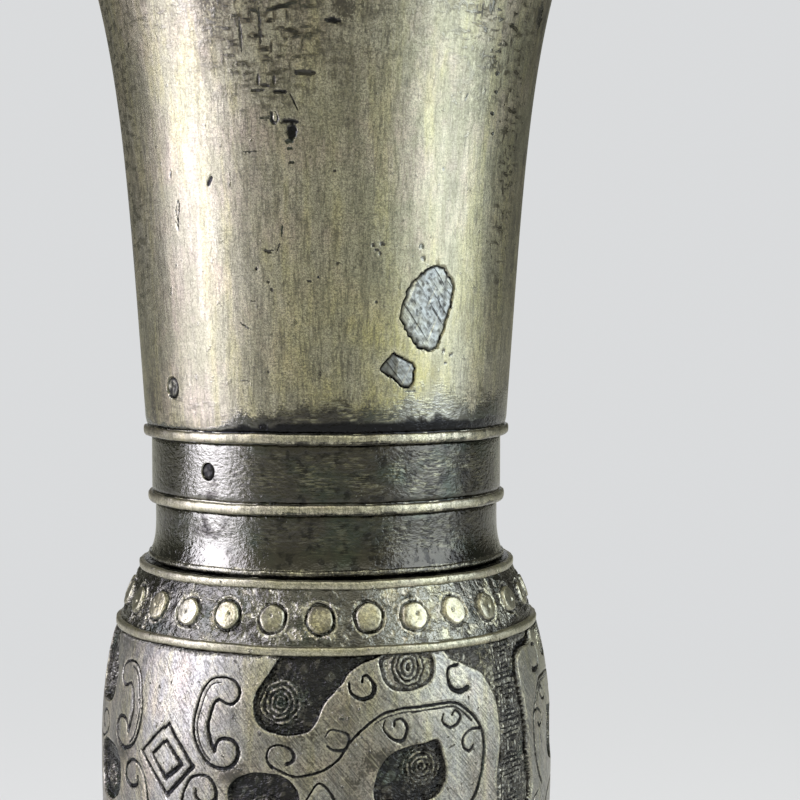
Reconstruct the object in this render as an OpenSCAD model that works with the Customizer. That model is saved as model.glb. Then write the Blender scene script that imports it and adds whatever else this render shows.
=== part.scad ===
// A bronze gu: a trumpet neck and a spreading foot, joined through a swollen middle, the knop.
// Millimetres, +Z up, origin at the centre of the foot's ground ring.
// An azimuth of 0 faces -Y, and a positive azimuth turns towards +X.

/* [Neck] */
// Height of the trumpet, from the string rib at its root to the mouth
trumpet_h = 104; // [80:1:130]
// Radius over the lip of the mouth
mouth_r = 58.5; // [48:0.5:66]
// Widening of the lower neck, as radius per height
neck_taper = 0.068; // [0.03:0.002:0.1]
// Power of the curve that opens the mouth, higher for a later and sharper flare
mouth_power = 4.6; // [3.4:0.1:6]
// Thickness of the neck's wall
neck_wall = 2.2; // [1.8:0.1:2.8]

/* [Collars of the neck and foot] */
// Height of a collar, from its seat on the knop to its outer string rib
collar_h = 18.2; // [15.5:0.1:24]
// Distance between the two string ribs of a collar
rib_gap = 9.3; // [6:0.1:11]
// Radius of the plain band between the two string ribs
band_r = 24.85; // [21:0.05:27]
// Height of a string rib
rib_h = 1.35; // [1:0.05:1.8]
// How far the outer string rib stands over the band
outer_rib_proud = 1.15; // [0.9:0.05:1.6]
// How far the inner string rib, nearer the knop, stands over the band
inner_rib_proud = 0.55; // [0.35:0.05:1]
// How much wider than the band the neck or foot starts past the outer rib
root_step = 0.75; // [0.3:0.05:1.1]
// How far the waist below the inner rib is sunk under the band
waist_sink = 0.5; // [0.1:0.05:0.8]
// How far the lip on the seat stands over the waist
lip_proud = 1.05; // [0.5:0.05:1.5]
// Height of the lip's upright edge
lip_h = 1; // [0.6:0.1:1.6]
// Height of the cove that rises from the lip to the waist
cove_h = 5.2; // [3:0.1:6]

/* [Knop] */
// Height of the knop
knop_h = 57.6; // [50:0.2:70]
// Radius at the widest part of the knop
knop_r = 32.2; // [30.5:0.1:36]
// How much wider than the collars' band the knop's two ends are
knop_end_step = 1.5; // [1.2:0.05:3]
// Power of the curve of the knop's side, higher for a fuller side
knop_power = 2.6; // [2:0.1:4]
// Thickness of the knop's wall
knop_wall = 2.6; // [1.8:0.1:3.2]

/* [Bands of circlets on the knop] */
// Distance from the knop's end to the centre of the first border rib
border_inset = 0.7; // [0.6:0.05:1.2]
// Distance between the centres of the two border ribs
circlet_band_h = 8; // [7:0.1:9]
// Height of a border rib
border_h = 1.2; // [0.8:0.05:1.4]
// Depth of the band's ground under the swelling of the knop
band_sink = 0.45; // [0.2:0.05:0.6]
// Number of circlets in one band
circlet_count = 28; // [12:1:32]
// Diameter of a circlet's boss
circlet_d = 3.3; // [2.4:0.1:3.6]
// Height of a circlet's boss over the ground
circlet_proud = 0.5; // [0.3:0.05:0.8]
// Diameter of the dimple in a circlet's boss
dimple_d = 0.8; // [0.5:0.1:1.2]
// Azimuth of the first circlet, in degrees
circlet_azimuth = -2; // [-12:0.5:12]

/* [Foot] */
// Height of the foot, from the ground to its outer string rib
foot_h = 50.5; // [40:0.5:62]
// Radius of the foot's plinth
foot_r = 41; // [36:0.5:46]
// Height of the plinth
plinth_h = 8; // [5:0.5:12]
// Depth of the step from the plinth's edge to the flare above it
plinth_step = 1.6; // [0.8:0.1:2.2]
// Power of the curve that spreads the foot
foot_power = 2.4; // [1.8:0.1:3.2]
// Thickness of the foot's wall
foot_wall = 2.4; // [1.8:0.1:3]

/* [Joints under the collars] */
// How far the spigots that stand in the knop's two sockets are sunk under the collars' band
spigot_inset = 2.15; // [1.9:0.05:2.6]
// Thickness of the spigots' wall
spigot_wall = 1.8; // [1.4:0.1:2.2]
// Depth of the knop's sockets
socket_depth = 8; // [6:0.2:10]
// Clearance all round between a spigot and its socket
socket_gap = 0.05; // [0.02:0.01:0.1]
// Thickness of the disc that closes the knop from below
floor_t = 2.4; // [1.6:0.1:3]
// Width of the inner shoulder that the floor disc is pushed up against
shoulder_w = 1.9; // [1.2:0.1:2.4]
// Thickness of that shoulder
shoulder_t = 2.2; // [1.6:0.1:3]
// Leg of the fillets of solder behind the two joints
seam_leg = 1.8; // [1:0.1:2.2]

/* [Repairs in the neck] */
// Azimuth of the centre of the large patch, in degrees
large_patch_azimuth = 29.8; // [20:0.2:40]
// Height of that centre over the outer string rib
large_patch_rise = 16.8; // [12:0.2:30]
// Azimuth of the centre of the small patch, in degrees
small_patch_azimuth = 21; // [10:0.2:30]
// Height of that centre over the outer string rib
small_patch_rise = 9; // [6:0.2:10]

/* [Plugs of the core pins] */
// Diameter of the plugs in the neck
neck_plug_d = 2.6; // [1.6:0.1:3.4]
// Azimuth of the first plug in the neck, in degrees
neck_plug_azimuth = -52.6; // [-70:0.2:-30]
// Height of the plugs in the neck over the outer string rib
neck_plug_rise = 6.4; // [4:0.2:20]
// Diameter of the plugs in the neck's collar
collar_plug_d = 2; // [1.4:0.1:2.6]
// Azimuth of the first plug in the collar, in degrees
collar_plug_azimuth = -39.5; // [-70:0.5:-20]

/* [Hidden] */
$fn = 96;

bronze = "#8f8560";
dark_bronze = "#5f5a45";
solder_grey = "#8d8c86";
spacer_grey = "#a09e95";

// Heights of the seats over the ground
knop_seat_z = foot_h + collar_h;
neck_seat_z = knop_seat_z + knop_h;
neck_rib_z = neck_seat_z + collar_h;

root_r = band_r + root_step;
waist_r = band_r - waist_sink;
lip_r = waist_r + lip_proud;
knop_end_r = band_r + knop_end_step;
spigot_r = band_r - spigot_inset;
bore_r = spigot_r - spigot_wall;
socket_r = spigot_r + socket_gap;
disc_r = spigot_r;
shoulder_r = socket_r - shoulder_w;

// Height over the outer rib at which the bore has widened to the neck's or the foot's own wall
bore_blend = 6;
curve_steps = 30;
rim_steps = 8;
cove_steps = 6;
lip_round = 0.3;
// How far a boss, a cut or a prism reaches past the face that it meets
past = 0.5;

// Outlines of the patches as seen from outside, from their centres
large_patch = [[-0.4, 5.1], [1.1, 5.6], [2.5, 5.1], [3.8, 3.9], [4, 2.8], [3.6, 0.8], [3, -1.4],
               [2.5, -3.2], [1.7, -4.7], [0.6, -5.2], [-0.6, -4.9], [-1.9, -4.2], [-2.9, -2.8],
               [-3.7, -1.2], [-3.8, 0.1], [-3.4, 1.3], [-3.1, 2.4], [-2.4, 3.7]];
small_patch = [[-0.4, 2], [0.6, 1.4], [2, 0.5], [2.2, -0.5], [1.9, -2], [0.6, -2.1],
               [-0.8, -0.9], [-2.2, 0], [-2.4, 0.5], [-1.5, 1.4]];

// The middle of a flaring wall, as radius at height u of a flare h high, and its slope
function flare(u, h, r0, r1, taper, power) =
    r0 + taper * u + (r1 - r0 - taper * h) * pow(u / h, power);
function flare_slope(u, h, r0, r1, taper, power) =
    taper + (r1 - r0 - taper * h) * power / h * pow(u / h, power - 1);
// A point beside the middle of the wall, off square to it, inwards where off is positive
function beside(u, h, r0, r1, taper, power, off) =
    let (s = flare_slope(u, h, r0, r1, taper, power), n = sqrt(1 + s * s))
    [flare(u, h, r0, r1, taper, power) - off / n, u + off * s / n];

// The knop's side, as radius at distance q from its middle, and the slope of that side
function knop_side(q) = knop_r - (knop_r - knop_end_r) * pow(abs(q) / (knop_h / 2), knop_power);
function knop_slope(q) =
    (knop_r - knop_end_r) * knop_power / (knop_h / 2) * pow(abs(q) / (knop_h / 2), knop_power - 1);

outer_border_q = knop_h / 2 - border_inset;
inner_border_q = outer_border_q - circlet_band_h;
circlet_q = (outer_border_q + inner_border_q) / 2;

neck_h = trumpet_h - neck_wall / 2;
neck_mid_r = root_r - neck_wall / 2;
mouth_mid_r = mouth_r - neck_wall / 2;
function neck_point(u, off) = beside(u, neck_h, neck_mid_r, mouth_mid_r, neck_taper, mouth_power, off);

foot_flare_h = foot_h - plinth_h;
foot_mid_r = root_r - foot_wall / 2;
flare_mid_r = foot_r - plinth_step - foot_wall / 2;
function foot_point(u, off) = beside(u, foot_flare_h, foot_mid_r, flare_mid_r, 0, foot_power, off);

// Puts a flat shape, drawn as seen from outside, at an azimuth and height, facing outwards
module facing_out(azimuth, z) {
    rotate([0, 0, azimuth]) translate([0, 0, z]) rotate([90, 0, 0]) children();
}

// A ring with a round edge of radius r, centred on height z and rooted under the surface at inner_r
module rib(r, z, h, inner_r) {
    rotate_extrude() {
        translate([inner_r, z - h / 2]) square([r - h / 2 - inner_r, h]);
        translate([r - h / 2, z]) circle(d = h);
    }
}

// Outside of a collar, listed from its seat to its outer rib
function collar_outside() = concat(
    [[lip_r - lip_round, 0], [lip_r, lip_round], [lip_r, lip_h - lip_round]],
    [for (i = [0 : cove_steps])
        let (t = i / cove_steps)
        [waist_r + (lip_proud - lip_round) * pow(1 - t, 3), lip_h + cove_h * t]],
    [[waist_r, collar_h - rib_gap], [band_r, collar_h - rib_gap], [band_r, collar_h]]);

module collar_ribs() {
    rib(band_r + outer_rib_proud, collar_h, rib_h, waist_r - past);
    rib(band_r + inner_rib_proud, collar_h - rib_gap, rib_h, waist_r - past);
}

// A collar with its spigot below and its flare above, standing on the plane z = 0
module collared_flare(flare_outside, flare_edge, flare_inside, spigot_len) {
    rotate_extrude() polygon(concat(
        [[bore_r, -spigot_len], [spigot_r, -spigot_len], [spigot_r, 0]],
        collar_outside(), flare_outside, flare_edge, flare_inside,
        [[bore_r, collar_h - rib_gap]]));
    collar_ribs();
}

module neck_wall_body() {
    end_slope = flare_slope(neck_h, neck_h, neck_mid_r, mouth_mid_r, neck_taper, mouth_power);
    lean = atan(end_slope);
    outside = [for (i = [0 : curve_steps])
        neck_point(neck_h * i / curve_steps, -neck_wall / 2) + [0, collar_h]];
    lip = [for (i = [1 : rim_steps - 1])
        [mouth_mid_r, neck_h + collar_h]
        + neck_wall / 2 * [cos(180 * i / rim_steps - lean), sin(180 * i / rim_steps - lean)]];
    inside = [for (i = [0 : curve_steps])
        let (u = neck_h + (bore_blend - neck_h) * i / curve_steps)
        neck_point(u, neck_wall / 2) + [0, collar_h]];
    translate([0, 0, neck_seat_z])
        collared_flare(outside, lip, inside, socket_depth + seam_leg);
}

module large_patch_prism() {
    facing_out(large_patch_azimuth, neck_rib_z + large_patch_rise) translate([0, 0, bore_r])
        linear_extrude(height = mouth_r - bore_r) polygon(large_patch);
}

module small_patch_prism() {
    facing_out(small_patch_azimuth, neck_rib_z + small_patch_rise) translate([0, 0, bore_r])
        linear_extrude(height = mouth_r - bore_r) polygon(small_patch);
}

// Two pins on opposite sides, at an azimuth and height, that reach from inside the bore past the wall
module pin_pair(azimuth, z, d) {
    for (side = [0, 180])
        facing_out(azimuth + side, z) translate([0, 0, bore_r - past])
            cylinder(h = mouth_r - bore_r, d = d);
}

module neck_pins() {
    pin_pair(neck_plug_azimuth, neck_rib_z + neck_plug_rise, neck_plug_d);
}

module collar_pins() {
    pin_pair(collar_plug_azimuth, neck_rib_z - rib_gap / 2, collar_plug_d);
}

module neck() {
    color(bronze) difference() {
        neck_wall_body();
        large_patch_prism();
        small_patch_prism();
        neck_pins();
        collar_pins();
    }
}

module neck_patch_large() {
    color(spacer_grey) intersection() {
        neck_wall_body();
        large_patch_prism();
    }
}

module neck_patch_small() {
    color(spacer_grey) intersection() {
        neck_wall_body();
        small_patch_prism();
    }
}

module neck_core_plugs() {
    color(spacer_grey) intersection() {
        neck_wall_body();
        neck_pins();
    }
}

module collar_core_plugs() {
    color(spacer_grey) intersection() {
        neck_wall_body();
        collar_pins();
    }
}

// A round boss with a dimple, whose base lies on the plane z = 0 and is rooted under it
module circlet() {
    difference() {
        translate([0, 0, -past]) cylinder(h = circlet_proud + past, d = circlet_d);
        translate([0, 0, circlet_proud / 2]) cylinder(h = circlet_proud, d = dimple_d);
    }
}

// One band of circlets, in the upper half of the knop about its middle
module circlet_band() {
    lean = atan(knop_slope(circlet_q));
    ground_r = knop_side(circlet_q) - band_sink / cos(lean);
    for (i = [0 : circlet_count - 1])
        facing_out(circlet_azimuth + 360 * i / circlet_count, circlet_q)
            translate([0, 0, ground_r]) rotate([-lean, 0, 0]) circlet();
}

// The knop's outer side about its middle, sunk in the two bands of circlets
function knop_outside() = concat(
    [for (i = [0 : curve_steps / 3])
        let (q = -knop_h / 2 + (knop_h / 2 - inner_border_q) * i / (curve_steps / 3))
        [knop_side(q) - band_sink, q]],
    [for (i = [0 : curve_steps])
        let (q = inner_border_q * (2 * i / curve_steps - 1))
        [knop_side(q), q]],
    [for (i = [0 : curve_steps / 3])
        let (q = inner_border_q + (knop_h / 2 - inner_border_q) * i / (curve_steps / 3))
        [knop_side(q) - band_sink, q]]);

module knop_solid() {
    rotate_extrude() polygon(concat([[0, -knop_h / 2]], knop_outside(), [[0, knop_h / 2]]));
    for (side = [-1, 1], q = [outer_border_q, inner_border_q])
        rib(knop_side(q), side * q, border_h, knop_side(q) - 2 * past);
    circlet_band();
    mirror([0, 0, 1]) circlet_band();
}

// The room inside the knop, between its upper socket and its lower shoulder
module knop_chamber() {
    bottom_q = -knop_h / 2 + socket_depth + shoulder_t;
    top_q = knop_h / 2 - socket_depth;
    rotate_extrude() polygon(concat([[0, bottom_q]],
        [for (i = [0 : curve_steps])
            let (q = bottom_q + (top_q - bottom_q) * i / curve_steps)
            [knop_side(q) - knop_wall, q]],
        [[0, top_q]]));
}

module knop() {
    color(dark_bronze) translate([0, 0, knop_seat_z + knop_h / 2]) difference() {
        knop_solid();
        knop_chamber();
        translate([0, 0, knop_h / 2 - socket_depth]) cylinder(h = socket_depth + past, r = socket_r);
        translate([0, 0, -knop_h / 2 - past]) cylinder(h = socket_depth + past, r = socket_r);
        translate([0, 0, -knop_h / 2]) cylinder(h = knop_h / 2, r = shoulder_r);
    }
}

module foot() {
    edge_z = knop_seat_z - plinth_h;
    outside = [for (i = [0 : curve_steps])
        foot_point(foot_flare_h * i / curve_steps, -foot_wall / 2) + [0, collar_h]];
    inside = [for (i = [0 : curve_steps])
        let (u = foot_flare_h + (bore_blend - foot_flare_h) * i / curve_steps)
        foot_point(u, foot_wall / 2) + [0, collar_h]];
    under = inside[0][1];
    plinth = [[foot_r, edge_z], [foot_r, knop_seat_z],
              [foot_r - foot_wall, knop_seat_z], [foot_r - foot_wall, under]];
    color(bronze) translate([0, 0, knop_seat_z]) mirror([0, 0, 1])
        collared_flare(outside, plinth, inside, socket_depth - floor_t);
}

// The disc that makes the floor of the vessel, held up against the knop's shoulder by the foot
module floor_disc() {
    color(dark_bronze) translate([0, 0, knop_seat_z + socket_depth - floor_t])
        cylinder(h = floor_t, r = disc_r);
}

// Solder run into the corner between the neck's spigot and the underside of the knop's socket
module neck_solder_seam() {
    top_z = neck_seat_z - socket_depth;
    color(solder_grey) rotate_extrude()
        polygon([[spigot_r, top_z], [spigot_r + seam_leg, top_z], [spigot_r, top_z - seam_leg]]);
}

// Solder run into the corner between the floor disc and the bore of the foot's spigot
module foot_solder_seam() {
    top_z = knop_seat_z + socket_depth - floor_t;
    color(solder_grey) rotate_extrude()
        polygon([[bore_r - seam_leg, top_z], [bore_r, top_z], [bore_r, top_z - seam_leg]]);
}

neck();
knop();
foot();
floor_disc();
neck_solder_seam();
foot_solder_seam();
neck_patch_large();
neck_patch_small();
neck_core_plugs();
collar_core_plugs();
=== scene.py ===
"""A gu in aged bronze, turned and carved over its solids. Sizes in the code are in millimetres."""
import functools
import math

import bpy
import numpy as np
from bpy.props import FloatProperty, FloatVectorProperty, IntProperty, PointerProperty
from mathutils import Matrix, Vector


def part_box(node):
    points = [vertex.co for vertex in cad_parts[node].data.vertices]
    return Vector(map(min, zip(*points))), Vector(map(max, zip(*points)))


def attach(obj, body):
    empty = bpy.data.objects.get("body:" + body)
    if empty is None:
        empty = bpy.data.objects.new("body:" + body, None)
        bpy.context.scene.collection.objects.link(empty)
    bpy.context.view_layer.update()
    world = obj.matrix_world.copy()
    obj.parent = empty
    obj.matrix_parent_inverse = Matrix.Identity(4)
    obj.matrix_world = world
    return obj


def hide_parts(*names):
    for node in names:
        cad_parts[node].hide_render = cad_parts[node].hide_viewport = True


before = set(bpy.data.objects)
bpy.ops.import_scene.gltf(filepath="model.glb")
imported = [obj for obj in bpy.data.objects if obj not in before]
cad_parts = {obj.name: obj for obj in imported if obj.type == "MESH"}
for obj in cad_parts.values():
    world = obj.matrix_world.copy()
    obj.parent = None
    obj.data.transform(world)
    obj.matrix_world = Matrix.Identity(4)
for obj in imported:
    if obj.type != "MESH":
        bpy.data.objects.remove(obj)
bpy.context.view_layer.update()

bl_info = {
    "name": "Bronze gu vessel",
    "version": (1, 0, 0),
    "blender": (4, 5, 0),
    "location": "3D View > Sidebar > Gu",
    "description": "Turns, carves and ages a bronze gu over its packed solids",
    "category": "Object",
}

MM = 0.001

# Sizes of the solids, in millimetres, so that each piece sits where its solid does
BAND_R = 24.85
RIB_GAP = 9.3
COLLAR_H = 18.2
RIB_H = 1.35
OUTER_RIB_R = BAND_R + 1.15
INNER_RIB_R = BAND_R + 0.55
ROOT_R = BAND_R + 0.75
WAIST_R = BAND_R - 0.5
LIP_R = WAIST_R + 1.05
SPIGOT_R = BAND_R - 2.15
BORE_R = SPIGOT_R - 1.8
SOCKET_R = SPIGOT_R + 0.05
SOCKET_DEPTH = 8.0
SHOULDER_R = SOCKET_R - 1.9
SHOULDER_T = 2.2
SEAM_LEG = 1.8
FLOOR_T = 2.4
NECK_WALL = 2.2
FOOT_WALL = 2.4
NECK_TAPER = 0.068
NECK_POWER = 4.6
FOOT_POWER = 2.4
PLINTH_H = 8.0
PLINTH_STEP = 1.6
KNOP_POWER = 2.6
KNOP_WALL = 2.6
BORDER_H = 1.2
BAND_SINK = 0.45

KNOP_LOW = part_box("knop")[0].z / MM
KNOP_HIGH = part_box("knop")[1].z / MM
KNOP_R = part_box("knop")[1].x / MM
KNOP_END_R = BAND_R + 1.5
KNOP_MIDDLE = (KNOP_LOW + KNOP_HIGH) / 2
KNOP_HALF = (KNOP_HIGH - KNOP_LOW) / 2
OUTER_BORDER = KNOP_HALF - 0.7
INNER_BORDER = OUTER_BORDER - 8.0
CIRCLET_ROW = (OUTER_BORDER + INNER_BORDER) / 2
MOUTH_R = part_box("neck")[1].x / MM
MOUTH_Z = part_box("neck")[1].z / MM
FOOT_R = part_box("foot")[1].x / MM
NECK_RIB_Z = KNOP_HIGH + COLLAR_H
FOOT_RIB_Z = KNOP_LOW - COLLAR_H
NECK_RUN = MOUTH_Z - NECK_RIB_Z - NECK_WALL / 2
FOOT_RUN = FOOT_RIB_Z - PLINTH_H

# Degrees from the axis of the first mask to the borders beside it
TO_RIGHT_BORDER = 93.1
TO_LEFT_BORDER = 92.0

# The camera that fits the curves of the ribs: its place in metres, and degrees downwards and round
CAMERA_PLACE = (0, -0.2608, 0.16145)
CAMERA_DIP = 2.865
CAMERA_TURN = -2.31


def knop_side(q):
    return KNOP_R - (KNOP_R - KNOP_END_R) * (np.abs(q) / KNOP_HALF) ** KNOP_POWER


def knop_slope(q):
    steepness = (KNOP_R - KNOP_END_R) * KNOP_POWER / KNOP_HALF
    return steepness * (np.abs(q) / KNOP_HALF) ** (KNOP_POWER - 1) * np.sign(q)


def wall_point(u, height, inner_r, outer_r, taper, power, off):
    """A point of a flaring wall at height u, off millimetres inwards of its middle."""
    rest = outer_r - inner_r - taper * height
    radius = inner_r + taper * u + rest * (u / height) ** power
    slope = taper + rest * power / height * (u / height) ** (power - 1)
    stretch = math.sqrt(1 + slope * slope)
    return (radius - off / stretch, u + off * slope / stretch)


def neck_point(u, off):
    half = NECK_WALL / 2
    return wall_point(u, NECK_RUN, ROOT_R - half, MOUTH_R - half, NECK_TAPER, NECK_POWER, off)


def foot_point(u, off):
    half = FOOT_WALL / 2
    return wall_point(u, FOOT_RUN, ROOT_R - half, FOOT_R - PLINTH_STEP - half, 0, FOOT_POWER, off)


def steps_between(start, end, count):
    return [start + (end - start) * i / count for i in range(count + 1)]


def start_fresh():
    """Leaves nothing selected, in object mode."""
    if bpy.context.object and bpy.context.object.mode != "OBJECT":
        bpy.ops.object.mode_set(mode="OBJECT")
    bpy.ops.object.select_all(action="DESELECT")


def named(name):
    """Names the object that was just made, and its data."""
    piece = bpy.context.object
    piece.name = name
    piece.data.name = name
    return piece


def numbers(items, field, kind, each=1):
    """One field of every item, in a row."""
    found = np.empty(len(items) * each, kind)
    items.foreach_get(field, found)
    return found


def places(piece):
    """The vertices of a piece as rows of millimetres."""
    return numbers(piece.data.vertices, "co", float, 3).reshape(-1, 3) / MM


def put(piece, rows):
    piece.data.vertices.foreach_set("co", np.ascontiguousarray(rows * MM).ravel())
    piece.data.update()


def face_centres(piece):
    return numbers(piece.data.polygons, "center", float, 3).reshape(-1, 3) / MM


def around(rows):
    """Azimuth in degrees, 0 facing -Y, and radius of each row."""
    return np.degrees(np.arctan2(rows[:, 0], -rows[:, 1])), np.hypot(rows[:, 0], rows[:, 1])


def on_axis(azimuth, radius, z):
    turn = np.radians(azimuth)
    return np.column_stack([radius * np.sin(turn), -radius * np.cos(turn), z])


def turned_from(azimuth, middle=0):
    """Degrees from the middle, between -180 and 180."""
    return np.mod(azimuth - middle + 180, 360) - 180


def seen_from(azimuth, radius, middle):
    """How far across each point lies, looking at an azimuth, and whether it is on that side."""
    turn = np.radians(azimuth - middle)
    return np.sin(turn) * radius, np.cos(turn) > 0


def pick_faces(piece, chosen):
    """Selects the chosen faces with their edges and corners, and nothing else."""
    mesh = piece.data
    corners = np.repeat(chosen, numbers(mesh.polygons, "loop_total", np.int32))
    for items, field in ((mesh.edges, "edge_index"), (mesh.vertices, "vertex_index")):
        picked = np.zeros(len(items), bool)
        picked[numbers(mesh.loops, field, np.int32)[corners]] = True
        items.foreach_set("select", picked)
    mesh.polygons.foreach_set("select", chosen)


def refine(piece, near, reaches):
    """Divides the faces that near() finds within each reach of what is cut into the piece."""
    bpy.context.view_layer.objects.active = piece
    bpy.context.tool_settings.mesh_select_mode = (False, False, True)
    for reach in reaches:
        chosen = near(face_centres(piece), reach)
        if not chosen.any():
            return
        pick_faces(piece, chosen)
        bpy.ops.object.mode_set(mode="EDIT")
        bpy.ops.mesh.subdivide(number_cuts=1, ngon=False)
        bpy.ops.object.mode_set(mode="OBJECT")


def write_on(piece, **fields):
    """Keeps numbers for each vertex, for the piece's material to read."""
    for name, values in fields.items():
        layer = piece.data.attributes.new(name, "FLOAT", "POINT")
        layer.data.foreach_set("value", np.clip(values, 0, 1).astype(np.float32))


def turn_on_axis(name, outline, steps):
    """Turns a closed outline of (radius, height) about the vessel's axis."""
    start_fresh()
    first = outline[0]
    bpy.ops.mesh.primitive_plane_add(size=MM, location=(first[0] * MM, 0, first[1] * MM))
    piece = named(name)
    bpy.context.tool_settings.mesh_select_mode = (True, False, False)
    bpy.ops.object.mode_set(mode="EDIT")
    bpy.ops.mesh.select_all(action="SELECT")
    bpy.ops.mesh.merge(type="CENTER")
    for before, after in zip(outline, outline[1:]):
        step = ((after[0] - before[0]) * MM, 0, (after[1] - before[1]) * MM)
        bpy.ops.mesh.extrude_region_move(TRANSFORM_OT_translate={"value": step})
    bpy.ops.object.mode_set(mode="OBJECT")
    ends = np.zeros(len(piece.data.vertices), bool)
    ends[[0, -1]] = True
    piece.data.vertices.foreach_set("select", ends)
    bpy.ops.object.mode_set(mode="EDIT")
    bpy.ops.mesh.edge_face_add()
    bpy.ops.mesh.select_all(action="SELECT")
    bpy.ops.mesh.spin(steps=steps, angle=2 * math.pi, center=(0, 0, 0), axis=(0, 0, 1))
    bpy.ops.mesh.select_all(action="SELECT")
    bpy.ops.mesh.remove_doubles(threshold=2e-6)
    bpy.ops.mesh.normals_make_consistent(inside=False)
    bpy.ops.object.mode_set(mode="OBJECT")
    bpy.ops.object.transform_apply(location=True, rotation=True, scale=True)
    return piece


def flat_tile(name, left, right, low, high, cell):
    """A flat grid of square cells, x along and y up, whose face looks along +Z."""
    start_fresh()
    along = max(1, round((right - left) / cell))
    up = max(1, round((high - low) / cell))
    middle = ((left + right) / 2 * MM, (low + high) / 2 * MM, 0)
    bpy.ops.mesh.primitive_grid_add(x_subdivisions=along, y_subdivisions=up, size=1, location=middle)
    piece = named(name)
    bpy.ops.object.mode_set(mode="EDIT")
    bpy.ops.mesh.select_all(action="SELECT")
    bpy.ops.transform.resize(value=((right - left) * MM, (high - low) * MM, 1))
    bpy.ops.object.mode_set(mode="OBJECT")
    bpy.ops.object.transform_apply(location=True, rotation=True, scale=True)
    return piece


def thicken(piece, thickness):
    """Gives a flat tile its thickness, behind its face."""
    wall = piece.modifiers.new("wall", "SOLIDIFY")
    wall.thickness = thickness * MM
    wall.offset = -1
    bpy.context.view_layer.objects.active = piece
    bpy.ops.object.modifier_apply(modifier=wall.name)


def smooth_faces(piece, angle):
    start_fresh()
    piece.select_set(True)
    bpy.context.view_layer.objects.active = piece
    bpy.ops.object.shade_smooth_by_angle(angle=math.radians(angle))


def hand_in(piece, material, slot, *nodes):
    """Gives a finished piece its material and its body, and hides the solids that it stands for. The slot
    argument is not used.
    """
    piece.data.materials.clear()
    piece.data.materials.append(material)
    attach(piece, "root")
    if nodes:
        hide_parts(*nodes)


def wander(x, y, seed):
    """A smooth unevenness, the same each time, between about -1 and 1 over a field in millimetres."""
    total = np.zeros(np.shape(x))
    for turn in range(6):
        angle = seed * 1.7 + turn * 2.4
        pitch = 0.5 + 0.42 * turn
        run = (x * math.cos(angle) + y * math.sin(angle)) * pitch
        total += np.sin(run + seed * 3.1 + turn * 1.3 + 0.8 * np.sin(run * 0.37 + seed))
    return total / 3.2


def ramp(value, low, high):
    """0 at low, 1 at high and smooth between them."""
    t = np.clip((value - low) / (high - low), 0, 1)
    return t * t * (3 - 2 * t)


def hump(value, width, power=2):
    """1 at 0, falling away smoothly past the width on both sides."""
    return np.exp(-(value / width) ** power)


def spot(x, half_w, y, half_h):
    """1 at the middle of a soft oval, falling away round it."""
    return np.exp(-(x / half_w) ** 2 - (y / half_h) ** 2)


def most(*fields):
    return functools.reduce(np.maximum, fields)


def rounded(points, closed=False, cuts=5):
    """A smooth line through given points."""
    known = np.array(points, float)
    if closed:
        known = np.vstack([known[-1], known, known[0], known[1]])
    else:
        known = np.vstack([2 * known[0] - known[1], known, 2 * known[-1] - known[-2]])
    line = []
    for a, b, c, d in zip(known[:-3], known[1:-2], known[2:-1], known[3:]):
        for i in range(cuts):
            t = i / cuts
            bend = (c - a) * t + (2 * a - 5 * b + 4 * c - d) * t ** 2 + (3 * b - a - 3 * c + d) * t ** 3
            line.append(b + bend / 2)
    line.append(known[-2])
    return np.array(line)


def straight(points):
    """A closed line with sharp corners."""
    return np.array(list(points) + [points[0]], float)


def line_distance(x, y, line, reach):
    """Distance of each point from a line, as far as reach."""
    low = line.min(0) - reach
    high = line.max(0) + reach
    near = np.flatnonzero((x > low[0]) & (x < high[0]) & (y > low[1]) & (y < high[1]))
    px = x[near]
    py = y[near]
    best = np.full(len(near), float(reach))
    for (ax, ay), (bx, by) in zip(line[:-1], line[1:]):
        dx = bx - ax
        dy = by - ay
        along = np.clip(((px - ax) * dx + (py - ay) * dy) / max(dx * dx + dy * dy, 1e-9), 0, 1)
        best = np.minimum(best, np.hypot(px - ax - along * dx, py - ay - along * dy))
    found = np.full(len(x), float(reach))
    found[near] = best
    return found


def inside(x, y, line):
    """Which points a closed line goes round."""
    found = np.zeros(len(x), bool)
    for (ax, ay), (bx, by) in zip(line[:-1], line[1:]):
        if ay == by:
            continue
        crossing = (ay > y) != (by > y)
        found ^= crossing & (x < (bx - ax) * (y - ay) / (by - ay) + ax)
    return found


# Ornament of one half of a mask, in millimetres from its axis and from the knop's middle
DIAMOND = straight([(0.7, 9.9), (5.1, 4.8), (0.7, 0.5), (-4.5, 5.4)])
DIAMOND_CORE = straight([(0.5, 7.7), (3.1, 4.8), (0.5, 2.6), (-2.3, 5.5)])
NOSE_SHIELD = straight([(0, -2.6), (1.3, -4.4), (1, -8), (0, -10.6), (-1, -8), (-1.3, -4.4)])

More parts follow.
